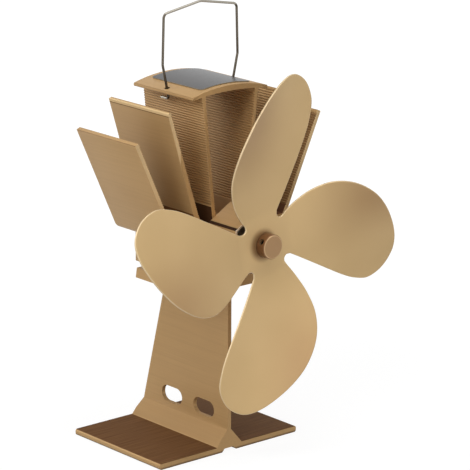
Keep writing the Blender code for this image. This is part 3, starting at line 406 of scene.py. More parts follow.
def inner_fin_above(low, high, finish):
    """The outer face of an inner fin, between two distances under its top."""
    top, soft = channel_floor + inner_fin_height, zone_edge / 2
    outside = finish.at_floor(inner_fin_lean).between(inner_fin_foot - 0.9 * MM, inner_fin_foot - 0.8 * MM)
    return outside * finish.z.band(top - high - soft, top - high + soft, top - low - soft, top - low + soft)


def fin_top_highlight(finish):
    """A painted highlight under the top of each inner fin, as light on its top edge."""
    return inner_fin_above(-1.0 * MM, highlight_height, finish) * 0.85, shade(246, 212, 158)


def fin_top_shadow_line(finish):
    """A fine painted shadow line under that highlight."""
    return inner_fin_above(highlight_height, highlight_height + shadow_line_width, finish) * 0.8, shade(108, 76, 40)


def lit_fin_ends(finish):
    """The outer fins' sawn ends are painted paler, as light on them."""
    outside = finish.side.between(sawn_end_start, sawn_end_start + 0.5 * MM)
    above_floor = finish.z.between(channel_floor, channel_floor + 0.5 * MM)
    return outside * above_floor * finish.facing("Y").between(0.9, 0.95) * 0.6, shade(244, 214, 164)


def duct_shade(finish):
    """The opening between the tower walls is painted darker inside as shade, most of all low down."""
    rise = finish.z - channel_floor
    inner = wall_foot - wall_thickness / math.cos(wall_lean)
    within = 1.0 - finish.at_floor(wall_lean).between(inner + zone_edge, inner + 3 * zone_edge)
    height = rise.band(-zone_edge, zone_edge, duct_top, duct_top + 4.0 * MM)
    deeper = 1.0 - rise.between(duct_ledge, duct_ledge + 0.6 * MM) * 0.4
    return within * height * finish.flank() * deeper * 0.45, shade(118, 76, 42)


def housing_corner_shadow(finish):
    """A painted shadow line along the housing's side corners, where the blades shade them."""
    corner = (housing_inner + housing_wall) * math.tan(30 * DEGREE)
    beyond = (finish.z - axis_height).math("ABSOLUTE") - corner
    line = beyond.band(-0.3 * MM, -0.1 * MM, corner_shadow_width, corner_shadow_width + 0.15 * MM)
    outside = finish.side.between(housing_inner - 0.8 * MM, housing_inner - 0.7 * MM)
    return line * outside * finish.flank(0.4, 0.7), shade(52, 30, 12)


def collar_bronze():
    """Turned collar: fine rings on its bright face, a painted highlight round its edge, and its side painted
    dark as shade and reflection.
    """
    finish = Finish("collar_bronze", metallic=0.5)
    finish.read_axes()
    distance = finish.off_axis()
    rings = (distance * 9000.0).math("SINE")
    # A painted highlight round the face's edge
    edge = distance.between(collar_radius - 0.8 * MM, collar_radius - 0.6 * MM)
    # The side is painted dark, as shade and reflection
    side = distance.between(collar_radius - 0.35 * MM, collar_radius - 0.15 * MM)
    face = finish.mix(rings * 0.5 + 0.5, shade(158, 122, 82), shade(170, 134, 94))
    face = finish.mix(edge * 0.6, face, shade(206, 172, 128))
    finish.set(Base_Color=finish.mix(side * 0.9, face, shade(120, 82, 50)), Roughness=0.34 + rings * 0.03)
    finish.bump(rings, 0.01 * MM, 0.4)
    return finish.material


def dark_wire():
    """Dark drawn steel wire with faint lengthwise scratches, painted bright where it runs level as a
    reflection of the light above.
    """
    finish = Finish("steel_wire", metallic=1.0)
    scratches = finish.noise((3000.0, 3000.0, 120.0))
    colour = finish.mix(scratches, shade(74, 67, 58), shade(102, 95, 84))
    finish.set(Base_Color=finish.mix(finish.mark("level") * 0.8, colour, shade(172, 166, 154)),
               Roughness=0.16 + scratches * 0.14)
    return finish.material


def label_grey():
    """Plain dark grey plate, semi-gloss, with its cut edges painted pale, as light on them."""
    finish = Finish("grey_label")
    grain = finish.noise(900.0)
    skin = finish.mix(grain, shade(44, 42, 42), shade(54, 52, 52))
    # The faces that do not face up are painted pale, as light on the cut edges
    finish.set(Base_Color=finish.mix(finish.facing("Z").between(0.5, 0.8), shade(150, 138, 116), skin),
               Roughness=0.26 + grain * 0.1)
    return finish.material


def mottled(name, dark, light, roughness, metallic, cells, spread):
    """A small part's finish and its noise, which moves between two tones and changes the gloss."""
    finish = Finish(name, metallic=metallic)
    mottle = finish.noise(cells, 3.0)
    finish.set(Base_Color=finish.mix(mottle, shade(*dark), shade(*light)),
               Roughness=roughness + mottle * spread)
    return finish, mottle


def plated_steel(*row):
    """Small metal parts with a mottled plating."""
    return mottled(*row, 1.0, 400.0, 0.12)[0].material


def even_grain(name, dark, light, roughness, grain, metallic=0.0):
    """Moulded, ceramic or sintered parts with a fine even grain."""
    finish, specks = mottled(name, dark, light, roughness, metallic, 1500.0, 0.1)
    finish.bump(specks, grain)
    return finish.material


# The sides of the heat sink's channels, each as its distance from the middle at the floor and its lean
outer_fin_foot = plate_width / 2 + math.tan(outer_fin_lean) * floor_thickness
outer_fin_face = outer_fin_foot - outer_fin_thickness / 2, outer_fin_lean
inner_fin_face = inner_fin_foot - inner_fin_foot_thickness / 2, inner_fin_lean
wall_face = wall_foot - wall_thickness / 2, wall_lean
channel_middle = tuple((inner + outer) / 2 for inner, outer in zip(inner_fin_face, outer_fin_face))

finishes = {
    "gold_sheet": gold_sheet(),
    "gold_sink": gold_extrusion(
        "gold_sink",
        # Painted shade in the channels: over the outer fins' inner faces, low beside the inner fins' outer
        # faces, deeper at the outer fins' feet, and low between the walls and the inner fins
        channel_shade(channel_middle, outer_fin_face, 44.4 * MM, shade(92, 58, 28), 0.6),
        channel_shade(inner_fin_face, channel_middle, 8.6 * MM, shade(122, 84, 46)),
        channel_shade(channel_middle, outer_fin_face, 3.9 * MM, shade(96, 62, 40)),
        channel_shade(wall_face, inner_fin_face, 10.3 * MM, shade(74, 46, 22)),
        duct_shade, fin_top_highlight, fin_top_shadow_line, lit_fin_ends),
    "gold_housing": gold_extrusion("gold_housing", housing_corner_shadow),
    "gold_stand": gold_extrusion("gold_stand", foot_top_shadow, slope_shade, lower_edge_shade),
    "collar_bronze": collar_bronze(),
    "steel_wire": dark_wire(),
    "grey_label": label_grey(),
}

# Small metal parts: dark and light tone, and roughness
for name, *row in (
        ("zinc_steel", (150, 150, 146), (200, 200, 196), 0.25),
        ("black_steel", (30, 28, 26), (52, 50, 48), 0.3),
        ("bimetal", (150, 132, 110), (180, 160, 136), 0.3),
        ("lamination", (90, 90, 92), (120, 120, 122), 0.4),
        ("copper", (176, 100, 66), (206, 128, 90), 0.28)):
    finishes[name] = plated_steel(name, *row)

# Parts with an even grain: dark and light tone, roughness, height of the grain, and how metallic
for name, *row in (
        ("bronze_bush", (140, 96, 50), (170, 122, 70), 0.5, 0.01 * MM, 0.8),
        ("ferrite", (48, 48, 50), (66, 66, 68), 0.6, 0.01 * MM),
        ("white_ceramic", (226, 224, 216), (238, 236, 230), 0.5, 0.005 * MM),
        ("pellet_grey", (110, 110, 114), (140, 140, 144), 0.5, 0.01 * MM),
        ("cream_plastic", (206, 194, 164), (218, 208, 180), 0.45, 0.006 * MM),
        ("red_lead", (150, 24, 18), (176, 36, 28), 0.4, 0.004 * MM),
        ("black_lead", (26, 26, 26), (40, 40, 40), 0.4, 0.004 * MM)):
    finishes[name] = even_grain(name, *row)

# The record's slot of each gold finish. Any other finish has its slot's own name.
gold_slots = dict.fromkeys(("gold_sink", "gold_housing", "gold_stand"), "gold_anodised")


# Mesh making

def linked(name, data):
    """A new object in the scene."""
    thing = bpy.data.objects.new(name, data)
    bpy.context.collection.objects.link(thing)
    return thing


def smooth(mesh, sharp):
    """Smooth shading, creased where two faces meet at more than an angle."""
    mesh.shade_smooth()
    mesh.set_sharp_from_angle(angle=sharp)


def give_finish(mesh, finish):
    """One finish on a whole mesh."""
    mesh.materials.clear()
    mesh.materials.append(finishes[finish])


def add_piece(name, mesh, finish, body, node):
    """A mesh as a piece that rides on a body and stands for a node."""
    piece = linked(name, mesh)
    give_finish(mesh, finish)
    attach(piece, body)
    gold_slots.get(finish, finish)
    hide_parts(node)
    return piece


def add_surface(name, points, faces, finish, body, node, sharp=40 * DEGREE, marks=None):
    """A piece from rows of points and arrays of face corners, with numbers marked at its points."""
    mesh = bpy.data.meshes.new(name)
    mesh.from_pydata(points.tolist(), [], [face for block in faces for face in block.tolist()])
    smooth(mesh, sharp)
    for mark, values in (marks or {}).items():
        mesh.attributes.new(mark, "FLOAT", "POINT").data.foreach_set("value", np.float32(values))
    return add_piece(name, mesh, finish, body, node)


def grid_faces(ids, closed=False):
    """Four-cornered faces between neighbouring rows and columns of a table of point numbers."""
    if closed:
        ids = np.hstack([ids, ids[:, :1]])
    return np.stack([ids[:-1, :-1], ids[:-1, 1:], ids[1:, 1:], ids[1:, :-1]], -1).reshape(-1, 4)


def unit(vectors):
    """Vectors of length one."""
    return vectors / np.linalg.norm(vectors, axis=-1, keepdims=True)


def turn(points, angle):
    """2-D points turned about zero."""
    c, s = math.cos(angle), math.sin(angle)
    return np.asarray(points) @ np.array([[c, s], [-s, c]])


def arc(centre, radius, start, end, steps):
    """Points along a 2-D arc, both ends included: centre plus radius times cosine and sine."""
    angles = np.linspace(start, end, steps + 1)
    return np.asarray(centre) + radius * np.stack([np.cos(angles), np.sin(angles)], -1)


def fillet(before, corner, after, radius, steps=6):
    """Arc points that round the corner between two straight runs, by turning one radius onto the other."""
    p, a, b = (np.asarray(v, float) for v in (corner, before, after))
    u, v = unit(a - p), unit(b - p)
    half = math.acos(float(np.clip(u @ v, -1, 1))) / 2
    reach = min(radius / math.tan(half), 0.49 * np.linalg.norm(a - p), 0.49 * np.linalg.norm(b - p))
    radius = reach * math.tan(half)
    middle = p + unit(u + v) * radius / math.sin(half)
    start, end = p + u * reach - middle, p + v * reach - middle
    sweep = math.pi - 2 * half
    t = np.linspace(0, 1, steps + 1)[:, None]
    return middle + (np.sin((1 - t) * sweep) * start + np.sin(t * sweep) * end) / math.sin(sweep)


def filleted(corners, radii, steps=6):
    """A path with a round at each inner corner, where a radius of zero keeps the corner."""
    path = [np.asarray(corners[:1], float)]
    for before, corner, after, radius in zip(corners, corners[1:], corners[2:], radii):
        path.append(fillet(before, corner, after, radius, steps) if radius else np.asarray([corner], float))
    return np.vstack(path + [np.asarray(corners[-1:], float)])


def offset_loop(loop, distance):
    """A closed 2-D loop moved inwards, corner by corner, along the mitre of its two edges."""
    edges = unit(np.roll(loop, -1, 0) - loop)
    normals = np.stack([-edges[:, 1], edges[:, 0]], -1)
    before = np.roll(normals, 1, 0)
    share = 1 + np.sum(normals * before, -1, keepdims=True)
    return loop + distance * (normals + before) / np.maximum(share, 0.4)


# Fan blades

def eased_reach(distance):
    """Distance past the flat hub, starting gently: h squared over h plus the ease length."""
    h = np.maximum(distance - hub_flat_radius, 0)
    return h ** 2 / (h + twist_ease)


def twist_depth(x, y):
    """How far a blade stands forward: a slope about a line beside the blade, and a bend across the sheet,
    which is the square of the distance from its middle over twice a radius. Both grow towards the tip."""
    bend = ((y - camber_middle) ** 2 - camber_rest ** 2) / (2 * camber_radius)
    return eased_reach(x) / eased_reach(fan_radius) * (math.tan(tip_pitch) * (y + twist_line_offset) + bend)


def smooth_curve(points, steps):
    """A Catmull-Rom curve through the points: each run is the usual cubic of its four nearest points."""
    p = np.vstack([2 * points[0] - points[1], points, 2 * points[-1] - points[-2]])
    t = np.linspace(0, 1, steps, endpoint=False)[None, :, None]
    a, b, c, d = (q[:, None] for q in (p[:-3], p[1:-2], p[2:-1], p[3:]))
    square, cube = 2 * a - 5 * b + 4 * c - d, 3 * b - 3 * c + d - a
    runs = (2 * b + (c - a) * t + square * t ** 2 + cube * t ** 3) / 2
    return np.vstack([runs.reshape(-1, 2), points[-1:]])


def evenly_spaced(points, count):
    """The same curve as count + 1 points at equal steps along its length."""
    lengths = np.concatenate([[0], np.cumsum(np.linalg.norm(np.diff(points, axis=0), axis=1))])
    at = np.linspace(0, lengths[-1], count + 1)
    return np.stack([np.interp(at, lengths, points[:, i]) for i in range(points.shape[1])], axis=1)


def tangent_point(centre, target, side):
    """Where the line from a slot's round end to a target leaves the round tangentially."""
    to_target = target - centre
    swing = math.acos(slot_round_radius / np.linalg.norm(to_target))
    return centre + slot_round_radius * turn(unit(to_target), side * swing)


def blade_outline(stations, slot_steps):
    """One blade's trailing and leading edge, both from the hub out, and the round end of the slot beyond."""
    centre = turn((slot_round_distance, 0), slot_round_angle)
    previous = turn(centre, -blade_turn)
    leading = np.array(leading_edge_shares) * fan_radius
    trailing = np.array(trailing_edge_shares) * fan_radius
    lead_start = tangent_point(centre, leading[0], -1)
    trail_start = tangent_point(previous, trailing[0], 1)
    steps = 24
    curve = smooth_curve(np.vstack([lead_start, leading, trailing[-2::-1], trail_start]), steps)
    tip = len(leading) * steps
    lead = evenly_spaced(curve[:tip + 1], stations)
    trail = evenly_spaced(curve[:tip - 1:-1], stations)
    end = turn(trail_start, blade_turn)
    a = math.atan2(*(lead_start - centre)[::-1])
    b = math.atan2(*(end - centre)[::-1])
    slot_end = arc(centre, slot_round_radius, a, b - 2 * math.pi if b > a else b, slot_steps)[1:-1]
    return trail, lead, slot_end


def sheet_point(x, y, strength, height):
    """A point of the sheet: on its middle surface, plus a height along the surface's own normal."""
    step = 0.02 * MM
    depth = twist_depth(x, y) * strength
    slope_x = (twist_depth(x + step, y) - twist_depth(x - step, y)) * strength / (2 * step)
    slope_y = (twist_depth(x, y + step) - twist_depth(x, y - step)) * strength / (2 * step)
    normal = unit(np.stack([-slope_x, -slope_y, np.ones_like(x)], -1))
    return np.stack([x, y, depth], -1) + normal * height


def eased(values, low, high):
    """0 at low, 1 at high, by the usual cubic 3 t squared minus 2 t cubed."""
    t = np.clip((values - low) / (high - low), 0, 1)
    return t * t * (3 - 2 * t)


def leading_shade_share(points):
    """How near each point is to its own blade's leading edge, away from the hub: the share of painted shade
    there.
    """
    angles = np.arctan2(points[:, 1], points[:, 0])
    own = angles - np.round(angles / blade_turn) * blade_turn
    reach = np.hypot(points[:, 0], points[:, 1])
    return eased(reach * np.sin(own), *lead_shade_across) * eased(reach * np.cos(own), *lead_shade_along)


def blade_share(points, k):
    """Blade k's share of the points round the fan, turned back to lie along X."""
    size = len(points) // blade_count
    return turn(points[k * size:(k + 1) * size], -blade_turn * k)


def placed_blade(flat, k, strength, height):
    """A blade's points at a height over its middle surface, turned from X to blade k's own place."""
    place = sheet_point(flat[..., 0], flat[..., 1], strength, height).reshape(-1, 3)
    return np.hstack([turn(place[:, :2], blade_turn * k), place[:, 2:]])


def make_blades():
    """The whole fan as one skin: a band of rounded edge, a grid on each blade's faces and a ruled hub."""
    stations, across, slot_steps = 96, 26, 16
    trail, lead, slot_end = blade_outline(stations, slot_steps)
    outline = np.vstack([trail, lead[-2::-1], slot_end])
    size = len(outline)
    loop = np.vstack([turn(outline, blade_turn * k) for k in range(blade_count)])
    tangent = unit(np.roll(loop, -1, 0) - np.roll(loop, 1, 0))
    inward = np.stack([-tangent[:, 1], tangent[:, 0]], -1)
    along = [np.arange(stations + 1), np.arange(stations - 1, -1, -1), np.zeros(len(slot_end))]
    strength = np.clip(np.concatenate(along) / 5, 0, 1)
    half, r = blade_thickness / 2, sheet_edge_round
    swing = np.linspace(0, 90, 4) * DEGREE
    front = [(3 * r, half)] + [(r * (1 - math.sin(a)), half - r + r * math.cos(a)) for a in swing]
    section = front + [(inset, -height) for inset, height in front[::-1]]
    points = [placed_blade(blade_share(loop + inward * inset, k), k, strength, height)
              for inset, height in section for k in range(blade_count)]
    ring_ids = np.arange(len(section) * len(loop)).reshape(len(section), -1)
    faces = [grid_faces(ring_ids, closed=True)[:, ::-1]]
    count = ring_ids.size
    hole_rings = []
    for ring, height, flip in ((0, half, False), (-1, -half, True)):
        rim = []
        for k in range(blade_count):
            own = blade_share(loop + inward * section[0][0], k)
            t = np.linspace(0, 1, across + 1)[None, 1:-1, None]
            inner = own[:stations, None] * (1 - t) + own[2 * stations:stations:-1, None] * t
            points.append(placed_blade(inner, k, strength[:stations, None], height))
            inner_ids = count + np.arange(len(points[-1])).reshape(inner.shape[:2])
            count += inner_ids.size
            base = ring_ids[ring, k * size:(k + 1) * size]
            ids = np.hstack([base[:stations, None], inner_ids, base[2 * stations:stations:-1, None]])
            cap = np.stack([ids[-1, :-1], ids[-1, 1:], np.full(across, base[stations])], -1)
            faces += [grid_faces(ids), cap[:, ::-1]] if flip else [grid_faces(ids)[:, ::-1], cap]
            rim += [ids[0], base[2 * stations + 1:]]
        rim = np.concatenate(rim)
        placed = np.vstack(points)[rim]
        circle = hub_hole_radius * unit(placed[:, :2])
        rows = [rim]
        for share in (0.6, 0.25, 0.0):
            flat = placed[:, :2] * share + circle * (1 - share)
            points.append(np.hstack([flat, np.full((len(flat), 1), height)]))
            rows.append(count + np.arange(len(flat)))
            count += len(flat)
        quads = grid_faces(np.stack(rows), closed=True)
        faces.append(quads if flip else quads[:, ::-1])
        hole_rings.append(rows[-1])
    faces.append(grid_faces(np.stack(hole_rings), closed=True)[:, ::-1])
    local = np.vstack(points)
    flat = turn(local[:, :2], rotor_rest_angle)
    world = np.stack([flat[:, 0], blade_plane - local[:, 2], axis_height + flat[:, 1]], -1)
    # The band of cut edge: partly bare metal, partly a painted highlight
    edge = np.zeros(len(world))
    edge[ring_ids[2:-2].ravel()] = 1.0
    add_surface("blades", world, faces, "gold_sheet", "rotor", "fan_blades", 60 * DEGREE,
                {"rim": edge, "lead": leading_shade_share(local)})


# Heat sink

def ribbed(start, end, start_margin, end_margin):
    """A straight face with round grooves: half of one minus cosine, pushed into the metal on the left."""
    start, end = np.asarray(start, float), np.asarray(end, float)
    along = unit(end - start)
    inward = np.array([-along[1], along[0]])
    length = np.linalg.norm(end - start) - start_margin - end_margin
    count = max(int(length / rib_pitch), 1)
    ribs = np.linspace(0, count, count * rib_steps + 1)
    at = start_margin + (length - count * rib_pitch) / 2 + rib_pitch * ribs
    depth = rib_depth * (0.5 - 0.5 * np.cos(2 * math.pi * ribs))
    return np.vstack([start, start + along * at[:, None] + inward * depth[:, None], end])


def arch_circle(crown, rise):
    """Height of the centre and radius of an arc that rises so far over the cap's width."""
    radius = ((cap_width / 2) ** 2 + rise ** 2) / (2 * rise)
    return crown - radius, radius


cap_upper = arch_circle(cap_crown, cap_rise)
cap_under = arch_circle(cap_crown - cap_thickness, cap_rise - cap_thickness + cap_end_thickness)


def arch_height(circle, x):
    """Height of one of the cap's arcs at a distance from the middle."""
    centre, radius = circle
    return centre + math.sqrt(radius ** 2 - x ** 2)


def wall_top(foot_x):
    """Where a leaning tower wall's face meets the cap's underside, found by repeating."""
    x, z = foot_x, cap_crown
    for _ in range(40):
        x = foot_x + math.tan(wall_lean) * (z - channel_floor)
        z = arch_height(cap_under, x)
    return np.array([x, z])


def arch(circle, start_x, end_x, steps):
    """Points along one of the cap's arcs between two distances from the middle."""
    centre, radius = circle
    return arc((0, centre), radius, math.acos(start_x / radius), math.acos(end_x / radius), steps)


def fin(foot_x, foot_z, lean, height, top_thickness, low_thickness):
    """A leaning fin's outer foot, outer top, inner top and inner foot."""
    along, across = turn((0, 1), -lean), turn((-1, 0), -lean)
    foot = np.array([foot_x, foot_z])
    top = foot + along * height / math.cos(lean)
    inner_foot_x = foot_x - low_thickness / math.cos(lean) + math.tan(lean) * (channel_floor - foot_z)
    return foot, top, top + across * top_thickness, np.array([inner_foot_x, channel_floor])


def sink_half():
    """Right half of the section, from the underside's middle out along both fins to the crown."""
    knee, top, inner_top, inner_foot = fin(
        plate_width / 2, plate_bottom, outer_fin_lean, outer_fin_height,
        outer_fin_thickness, outer_fin_thickness)
    foot2, top2, inner_top2, inner_foot2 = fin(
        inner_fin_foot, channel_floor, inner_fin_lean, inner_fin_height,
        inner_fin_thickness, inner_fin_foot_thickness)
    wall_end, wall_start = wall_top(wall_foot), np.array([wall_foot, channel_floor])
    r = die_corner_round
    end_top, end_low = ((cap_width / 2, arch_height(face, cap_width / 2)) for face in (cap_upper, cap_under))
    runs = [filleted([(0, sink_bottom), (block_width / 2, sink_bottom), (block_width / 2, plate_bottom),
                      knee, top, inner_top, inner_foot], [r, r, knee_radius, r, r])[:-1]]
    face = ribbed(inner_top, inner_foot, rib_top_margin, outer_rib_foot_margin)
    runs += [face[1:-1], filleted([face[-2], inner_foot, foot2, top2, inner_top2, inner_foot2],
                                  [root_fillet, root_fillet, r, r])[1:-1]]
    face = ribbed(inner_top2, inner_foot2, rib_top_margin, rib_foot_margin)
    runs += [face[1:-1], fillet(face[-2], face[-1], wall_start, root_fillet)]
    face = ribbed(wall_start, wall_end, wall_rib_foot_margin, rib_top_margin)
    runs += [fillet(inner_foot2, wall_start, face[1], root_fillet), face[1:]]
    under = arch(cap_under, wall_end[0], cap_width / 2, 6)
    over = arch(cap_upper, cap_width / 2, 0, 40)
    runs += [under[1:-1], filleted([under[-2], end_low, end_top, over[1]], [r, r])[1:-1], over[1:]]
    return np.vstack(runs)


def duct_half():
    """Right half of the opening between the tower walls, from the floor to the cap."""
    foot = np.array([wall_foot - wall_thickness / math.cos(wall_lean), channel_floor])
    top = wall_top(foot[0])
    face = ribbed(top, foot, rib_top_margin, rib_foot_margin)[::-1]
    under = arch(cap_under, top[0], 0, 16)
    middle = (0, channel_floor)
    return np.vstack([[middle], fillet(middle, foot, face[1], root_fillet), face[1:], under[1:]])


def hollow(loop, sign):
    """How deep in a rib's valley each point of a loop lies: its turn per length over a full valley's."""
    before, after = loop - np.roll(loop, 1, 0), np.roll(loop, -1, 0) - loop
    lengths = (np.linalg.norm(before, axis=1) + np.linalg.norm(after, axis=1)) / 2
    bend = (before[:, 0] * after[:, 1] - before[:, 1] * after[:, 0]) / lengths ** 3
    full = rib_depth / 2 * (2 * math.pi / rib_pitch) ** 2
    return np.where(lengths < rib_pitch / 3, np.clip(sign * bend / full, 0, 1), 0)


def make_sink():
    """The extrusion: its section carried along the depth, with softened sawn ends."""
    r = sawn_edge_round
    swing = np.array([0, 45, 90]) * DEGREE
    stations = [(r * (1 - math.sin(a)), sink_front + r * (1 - math.cos(a))) for a in swing]
    stations += [(inset, sink_front + sink_back - y) for inset, y in stations[::-1]]
    points, faces, tables, valley = [], [], [], []
    count = 0
    for half, sign, share in ((sink_half(), 1, 1.0), (duct_half(), -1, 0.5)):
        loop = np.vstack([half, half[-2:0:-1] * (-1, 1)])
        for inset, y in stations:
            moved = offset_loop(loop, sign * inset)
            points.append(np.stack([moved[:, 0], np.full(len(moved), y), moved[:, 1]], -1))
        table = count + np.arange(len(stations) * len(loop)).reshape(len(stations), -1)
        count += table.size
        faces.append(grid_faces(table, closed=True)[:, ::sign])
        # How deep each point lies in a rib's valley, which sets the painted shade there, half as strong in
        # the duct
        valley += [hollow(loop, sign) * share] * len(stations)
        tables.append((table, len(half)))
    (outer, right), (duct, left) = tables
    for row, step in ((0, 1), (-1, -1)):
        out, gap = outer[row], duct[row]
        halves = [out[:right], gap[:left][::-1]], [out[right - 1:], out[:1], gap[:1], gap[left - 1:][::-1]]
        faces += [np.concatenate(half)[None, ::step] for half in halves]
    sink = add_surface("sink", np.vstack(points), faces, "gold_sink", "stand", "heat_sink", sink_crease,
                       {"valley": np.concatenate(valley)})
    bore_handle_holes(sink)


def bore_handle_holes(sink):
    """Cut the two holes that the wire passes through, and keep only the result."""
    cutters = []
    bottom = arch_height(cap_under, handle_foot_width / 2) - 1.2 * MM
    top = arch_height(cap_upper, handle_foot_width / 2) + 1.0 * MM
    for x in (-handle_foot_width / 2, handle_foot_width / 2):
        bpy.ops.mesh.primitive_cylinder_add(vertices=40, radius=handle_hole_radius, depth=top - bottom,
                                            location=(x, sink_middle, (top + bottom) / 2))
        cutter = bpy.context.object
        boolean = sink.modifiers.new("handle_hole", "BOOLEAN")
        boolean.operation, boolean.solver, boolean.object = "DIFFERENCE", "EXACT", cutter
        cutters.append(cutter)
    bored = bpy.data.meshes.new_from_object(sink.evaluated_get(bpy.context.evaluated_depsgraph_get()))
    sink.modifiers.clear()
    sink.data = bored
    smooth(bored, sink_crease)
    for cutter in cutters:
        bpy.data.objects.remove(cutter)


# Housing

def hexagon_ring(flat_distance, corner, depth):
    """A hexagon with a point at the top and round corners, at one depth."""
    radius = flat_distance / math.cos(30 * DEGREE)
    corners = [turn((0, radius), -60 * i * DEGREE) for i in range(6)]
    rounds = [fillet(corners[i - 1], corners[i], corners[(i + 1) % 6], corner, 5) for i in range(6)]
    flat = np.vstack(rounds)[::-1]
    return np.stack([flat[:, 0], np.full(len(flat), depth), axis_height + flat[:, 1]], -1)


def make_housing():
    """The hexagonal cup: rings of one section, out along the wall, over the rim and into the pocket."""
    outer, inner, r = housing_inner + housing_wall, housing_inner, rim_round
    front, back = housing_low.y, housing_high.y
    pocket = back - housing_back
    swing = np.array([0, 30, 60, 90]) * DEGREE
    corner = housing_corner_round
    rings = [(outer - r + r * math.sin(a), back - r + r * math.cos(a), corner) for a in swing]
    rings += [(outer - r + r * math.cos(a), front + r - r * math.sin(a), corner) for a in swing]
    rings += [(inner + r - r * math.sin(a), front + r - r * math.cos(a), corner / 2) for a in swing]
    rings += [(inner, front + 0.5 * MM, corner / 2), (inner, pocket, corner / 2)]
    points = [hexagon_ring(flat, round_, y) for flat, y, round_ in rings]
    ids = np.arange(len(points) * len(points[0])).reshape(len(points), -1)
    faces = [grid_faces(ids, closed=True)[:, ::-1], ids[:1], ids[-1:, ::-1]]
    order = np.repeat(np.arange(len(rings)), len(points[0]))
    # The rim carries a painted highlight and the pocket painted shade
    marks = {"rim": (order > 4) & (order < 11), "pocket": order > 11}
    add_surface("housing", np.vstack(points), faces, "gold_housing", "stand", "motor_housing", marks=marks)


# Wire handle

def tube_points(path, radius, sides):
    """Rings round a path: each ring turns with the path by the smallest turn, with no twist."""
    tangents = unit(np.gradient(path, axis=0))
    across = np.zeros_like(path)
    across[0] = unit(np.cross(tangents[0], (0.3, 0.5, 0.9)))
    for i in range(1, len(path)):
        moved = across[i - 1] - tangents[i] * (across[i - 1] @ tangents[i])
        across[i] = moved / np.linalg.norm(moved)
    other = np.cross(tangents, across)
    angles = 2 * math.pi * np.arange(sides)[:, None] / sides
    return path[:, None] + (np.cos(angles) * across[:, None] + np.sin(angles) * other[:, None]) * radius


def make_handle():
    """The bent wire bail, from hook to hook, with slightly rounded cut ends."""
    foot_x, leg_x = handle_foot_width / 2, handle_width / 2
    pivot = sum(arch_height(face, foot_x) for face in (cap_upper, cap_under)) / 2
    slope = (leg_x - foot_x) / handle_kink_height
    hook_x = foot_x - slope * handle_hook_drop
    right = [(hook_x, handle_hook_length, -handle_hook_drop), (hook_x, 0, -handle_hook_drop),
             (leg_x, 0, handle_kink_height), (handle_top_width / 2, 0, handle_corner_height)]
    corners = right + [(0, 0, handle_peak_height)] + [(-x, y, z) for x, y, z in reversed(right)]
    bends = [hook_bend, kink_bend, corner_bend]
    path = filleted(corners, bends + [peak_bend] + bends[::-1], 12) + (0, sink_middle, pivot)
    sides = 20
    rings = tube_points(path, wire_radius, sides)
    rows = np.concatenate([rings[:1] * 0.7 + path[0] * 0.3, rings, rings[-1:] * 0.7 + path[-1] * 0.3])
    rows[1] += unit(path[1] - path[0]) * 0.2 * MM
    rows[-2] -= unit(path[-1] - path[-2]) * 0.2 * MM
    ids = np.arange(len(rows) * sides).reshape(-1, sides)
    faces = [grid_faces(ids, closed=True), ids[:1, ::-1], ids[-1:]]
    # Where the wire runs level it is painted bright, as a reflection of the light above
    rise = np.abs(unit(np.gradient(path, axis=0))[:, 2])
    level = 1 - eased(np.concatenate([rise[:1], rise, rise[-1:]]), 0.45, 0.8)
    add_surface("handle_wire", rows.reshape(-1, 3), faces, "steel_wire", "handle", "carry_handle",
                marks={"level": np.repeat(level, sides)})


# Pieces whose solids have the right shape, with their edges eased

def eased_copy(node, name, finish, width, body="stand"):
    """A node's own mesh with its triangles joined, its flats made whole and its edges eased."""
    mesh = bpy.data.meshes.new(name)
    bm = bmesh.new()
    bm.from_mesh(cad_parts[node].data)
    bmesh.ops.remove_doubles(bm, verts=bm.verts, dist=0.002 * MM)
    bmesh.ops.dissolve_limit(bm, angle_limit=0.8 * DEGREE, verts=bm.verts, edges=bm.edges)
    bm.to_mesh(mesh)
    bm.free()
    smooth(mesh, 35 * DEGREE)
    piece = add_piece(name, mesh, finish, body, node)
    if width:
        bevel = piece.modifiers.new("eased_edges", "BEVEL")
        bevel.width, bevel.segments = width, 2
        bevel.limit_method, bevel.angle_limit = "ANGLE", 40 * DEGREE
        bevel.harden_normals = True


def make_small_pieces():
    """Everything else keeps its solid's shape, with eased edges where they can be seen. Each row gives the
    node, the piece, its finish, the width of its eased edges in millimetres, and any body but the stand."""
    rows = [
        ("base_stand", "stand_extrusion", "gold_stand", 0.22),
        ("label_plate", "label", "grey_label", 0.08),
        ("hub_collar", "collar", "collar_bronze", 0.12, "rotor"),
        ("set_screw", "grub_screw", "black_steel", 0.08, "rotor"),
        ("motor_shaft", "shaft", "zinc_steel", 0.08, "rotor"),
        ("motor_can", "can", "zinc_steel", 0.15),
        ("motor_end_cap", "can_end_cap", "cream_plastic", 0.1),
        ("front_bush", "bush_front", "bronze_bush", 0.0),
        ("back_bush", "bush_back", "bronze_bush", 0.0),
        ("housing_screw_{}", "screw_{}", "zinc_steel", 0.12),
        ("clamp_screw_{}", "cap_screw_{}", "zinc_steel", 0.12),
        ("clamp_bush_{}", "insulator_{}", "cream_plastic", 0.1),
        ("module_hot_plate", "hot_plate", "white_ceramic", 0.1),
        ("module_cold_plate", "cold_plate", "white_ceramic", 0.1),
        ("module_pellets", "pellets", "pellet_grey", 0.0),
        ("strip_rivet", "rivet", "zinc_steel", 0.08),
        ("bimetal_strip", "safety_strip", "bimetal", 0.08, "strip"),
    ]
    for node, name, finish, width, *body in rows:
        for side in ("left", "right") if "{}" in node else ("",):
            eased_copy(node.format(side), name.format(side), finish, width * MM, *body)


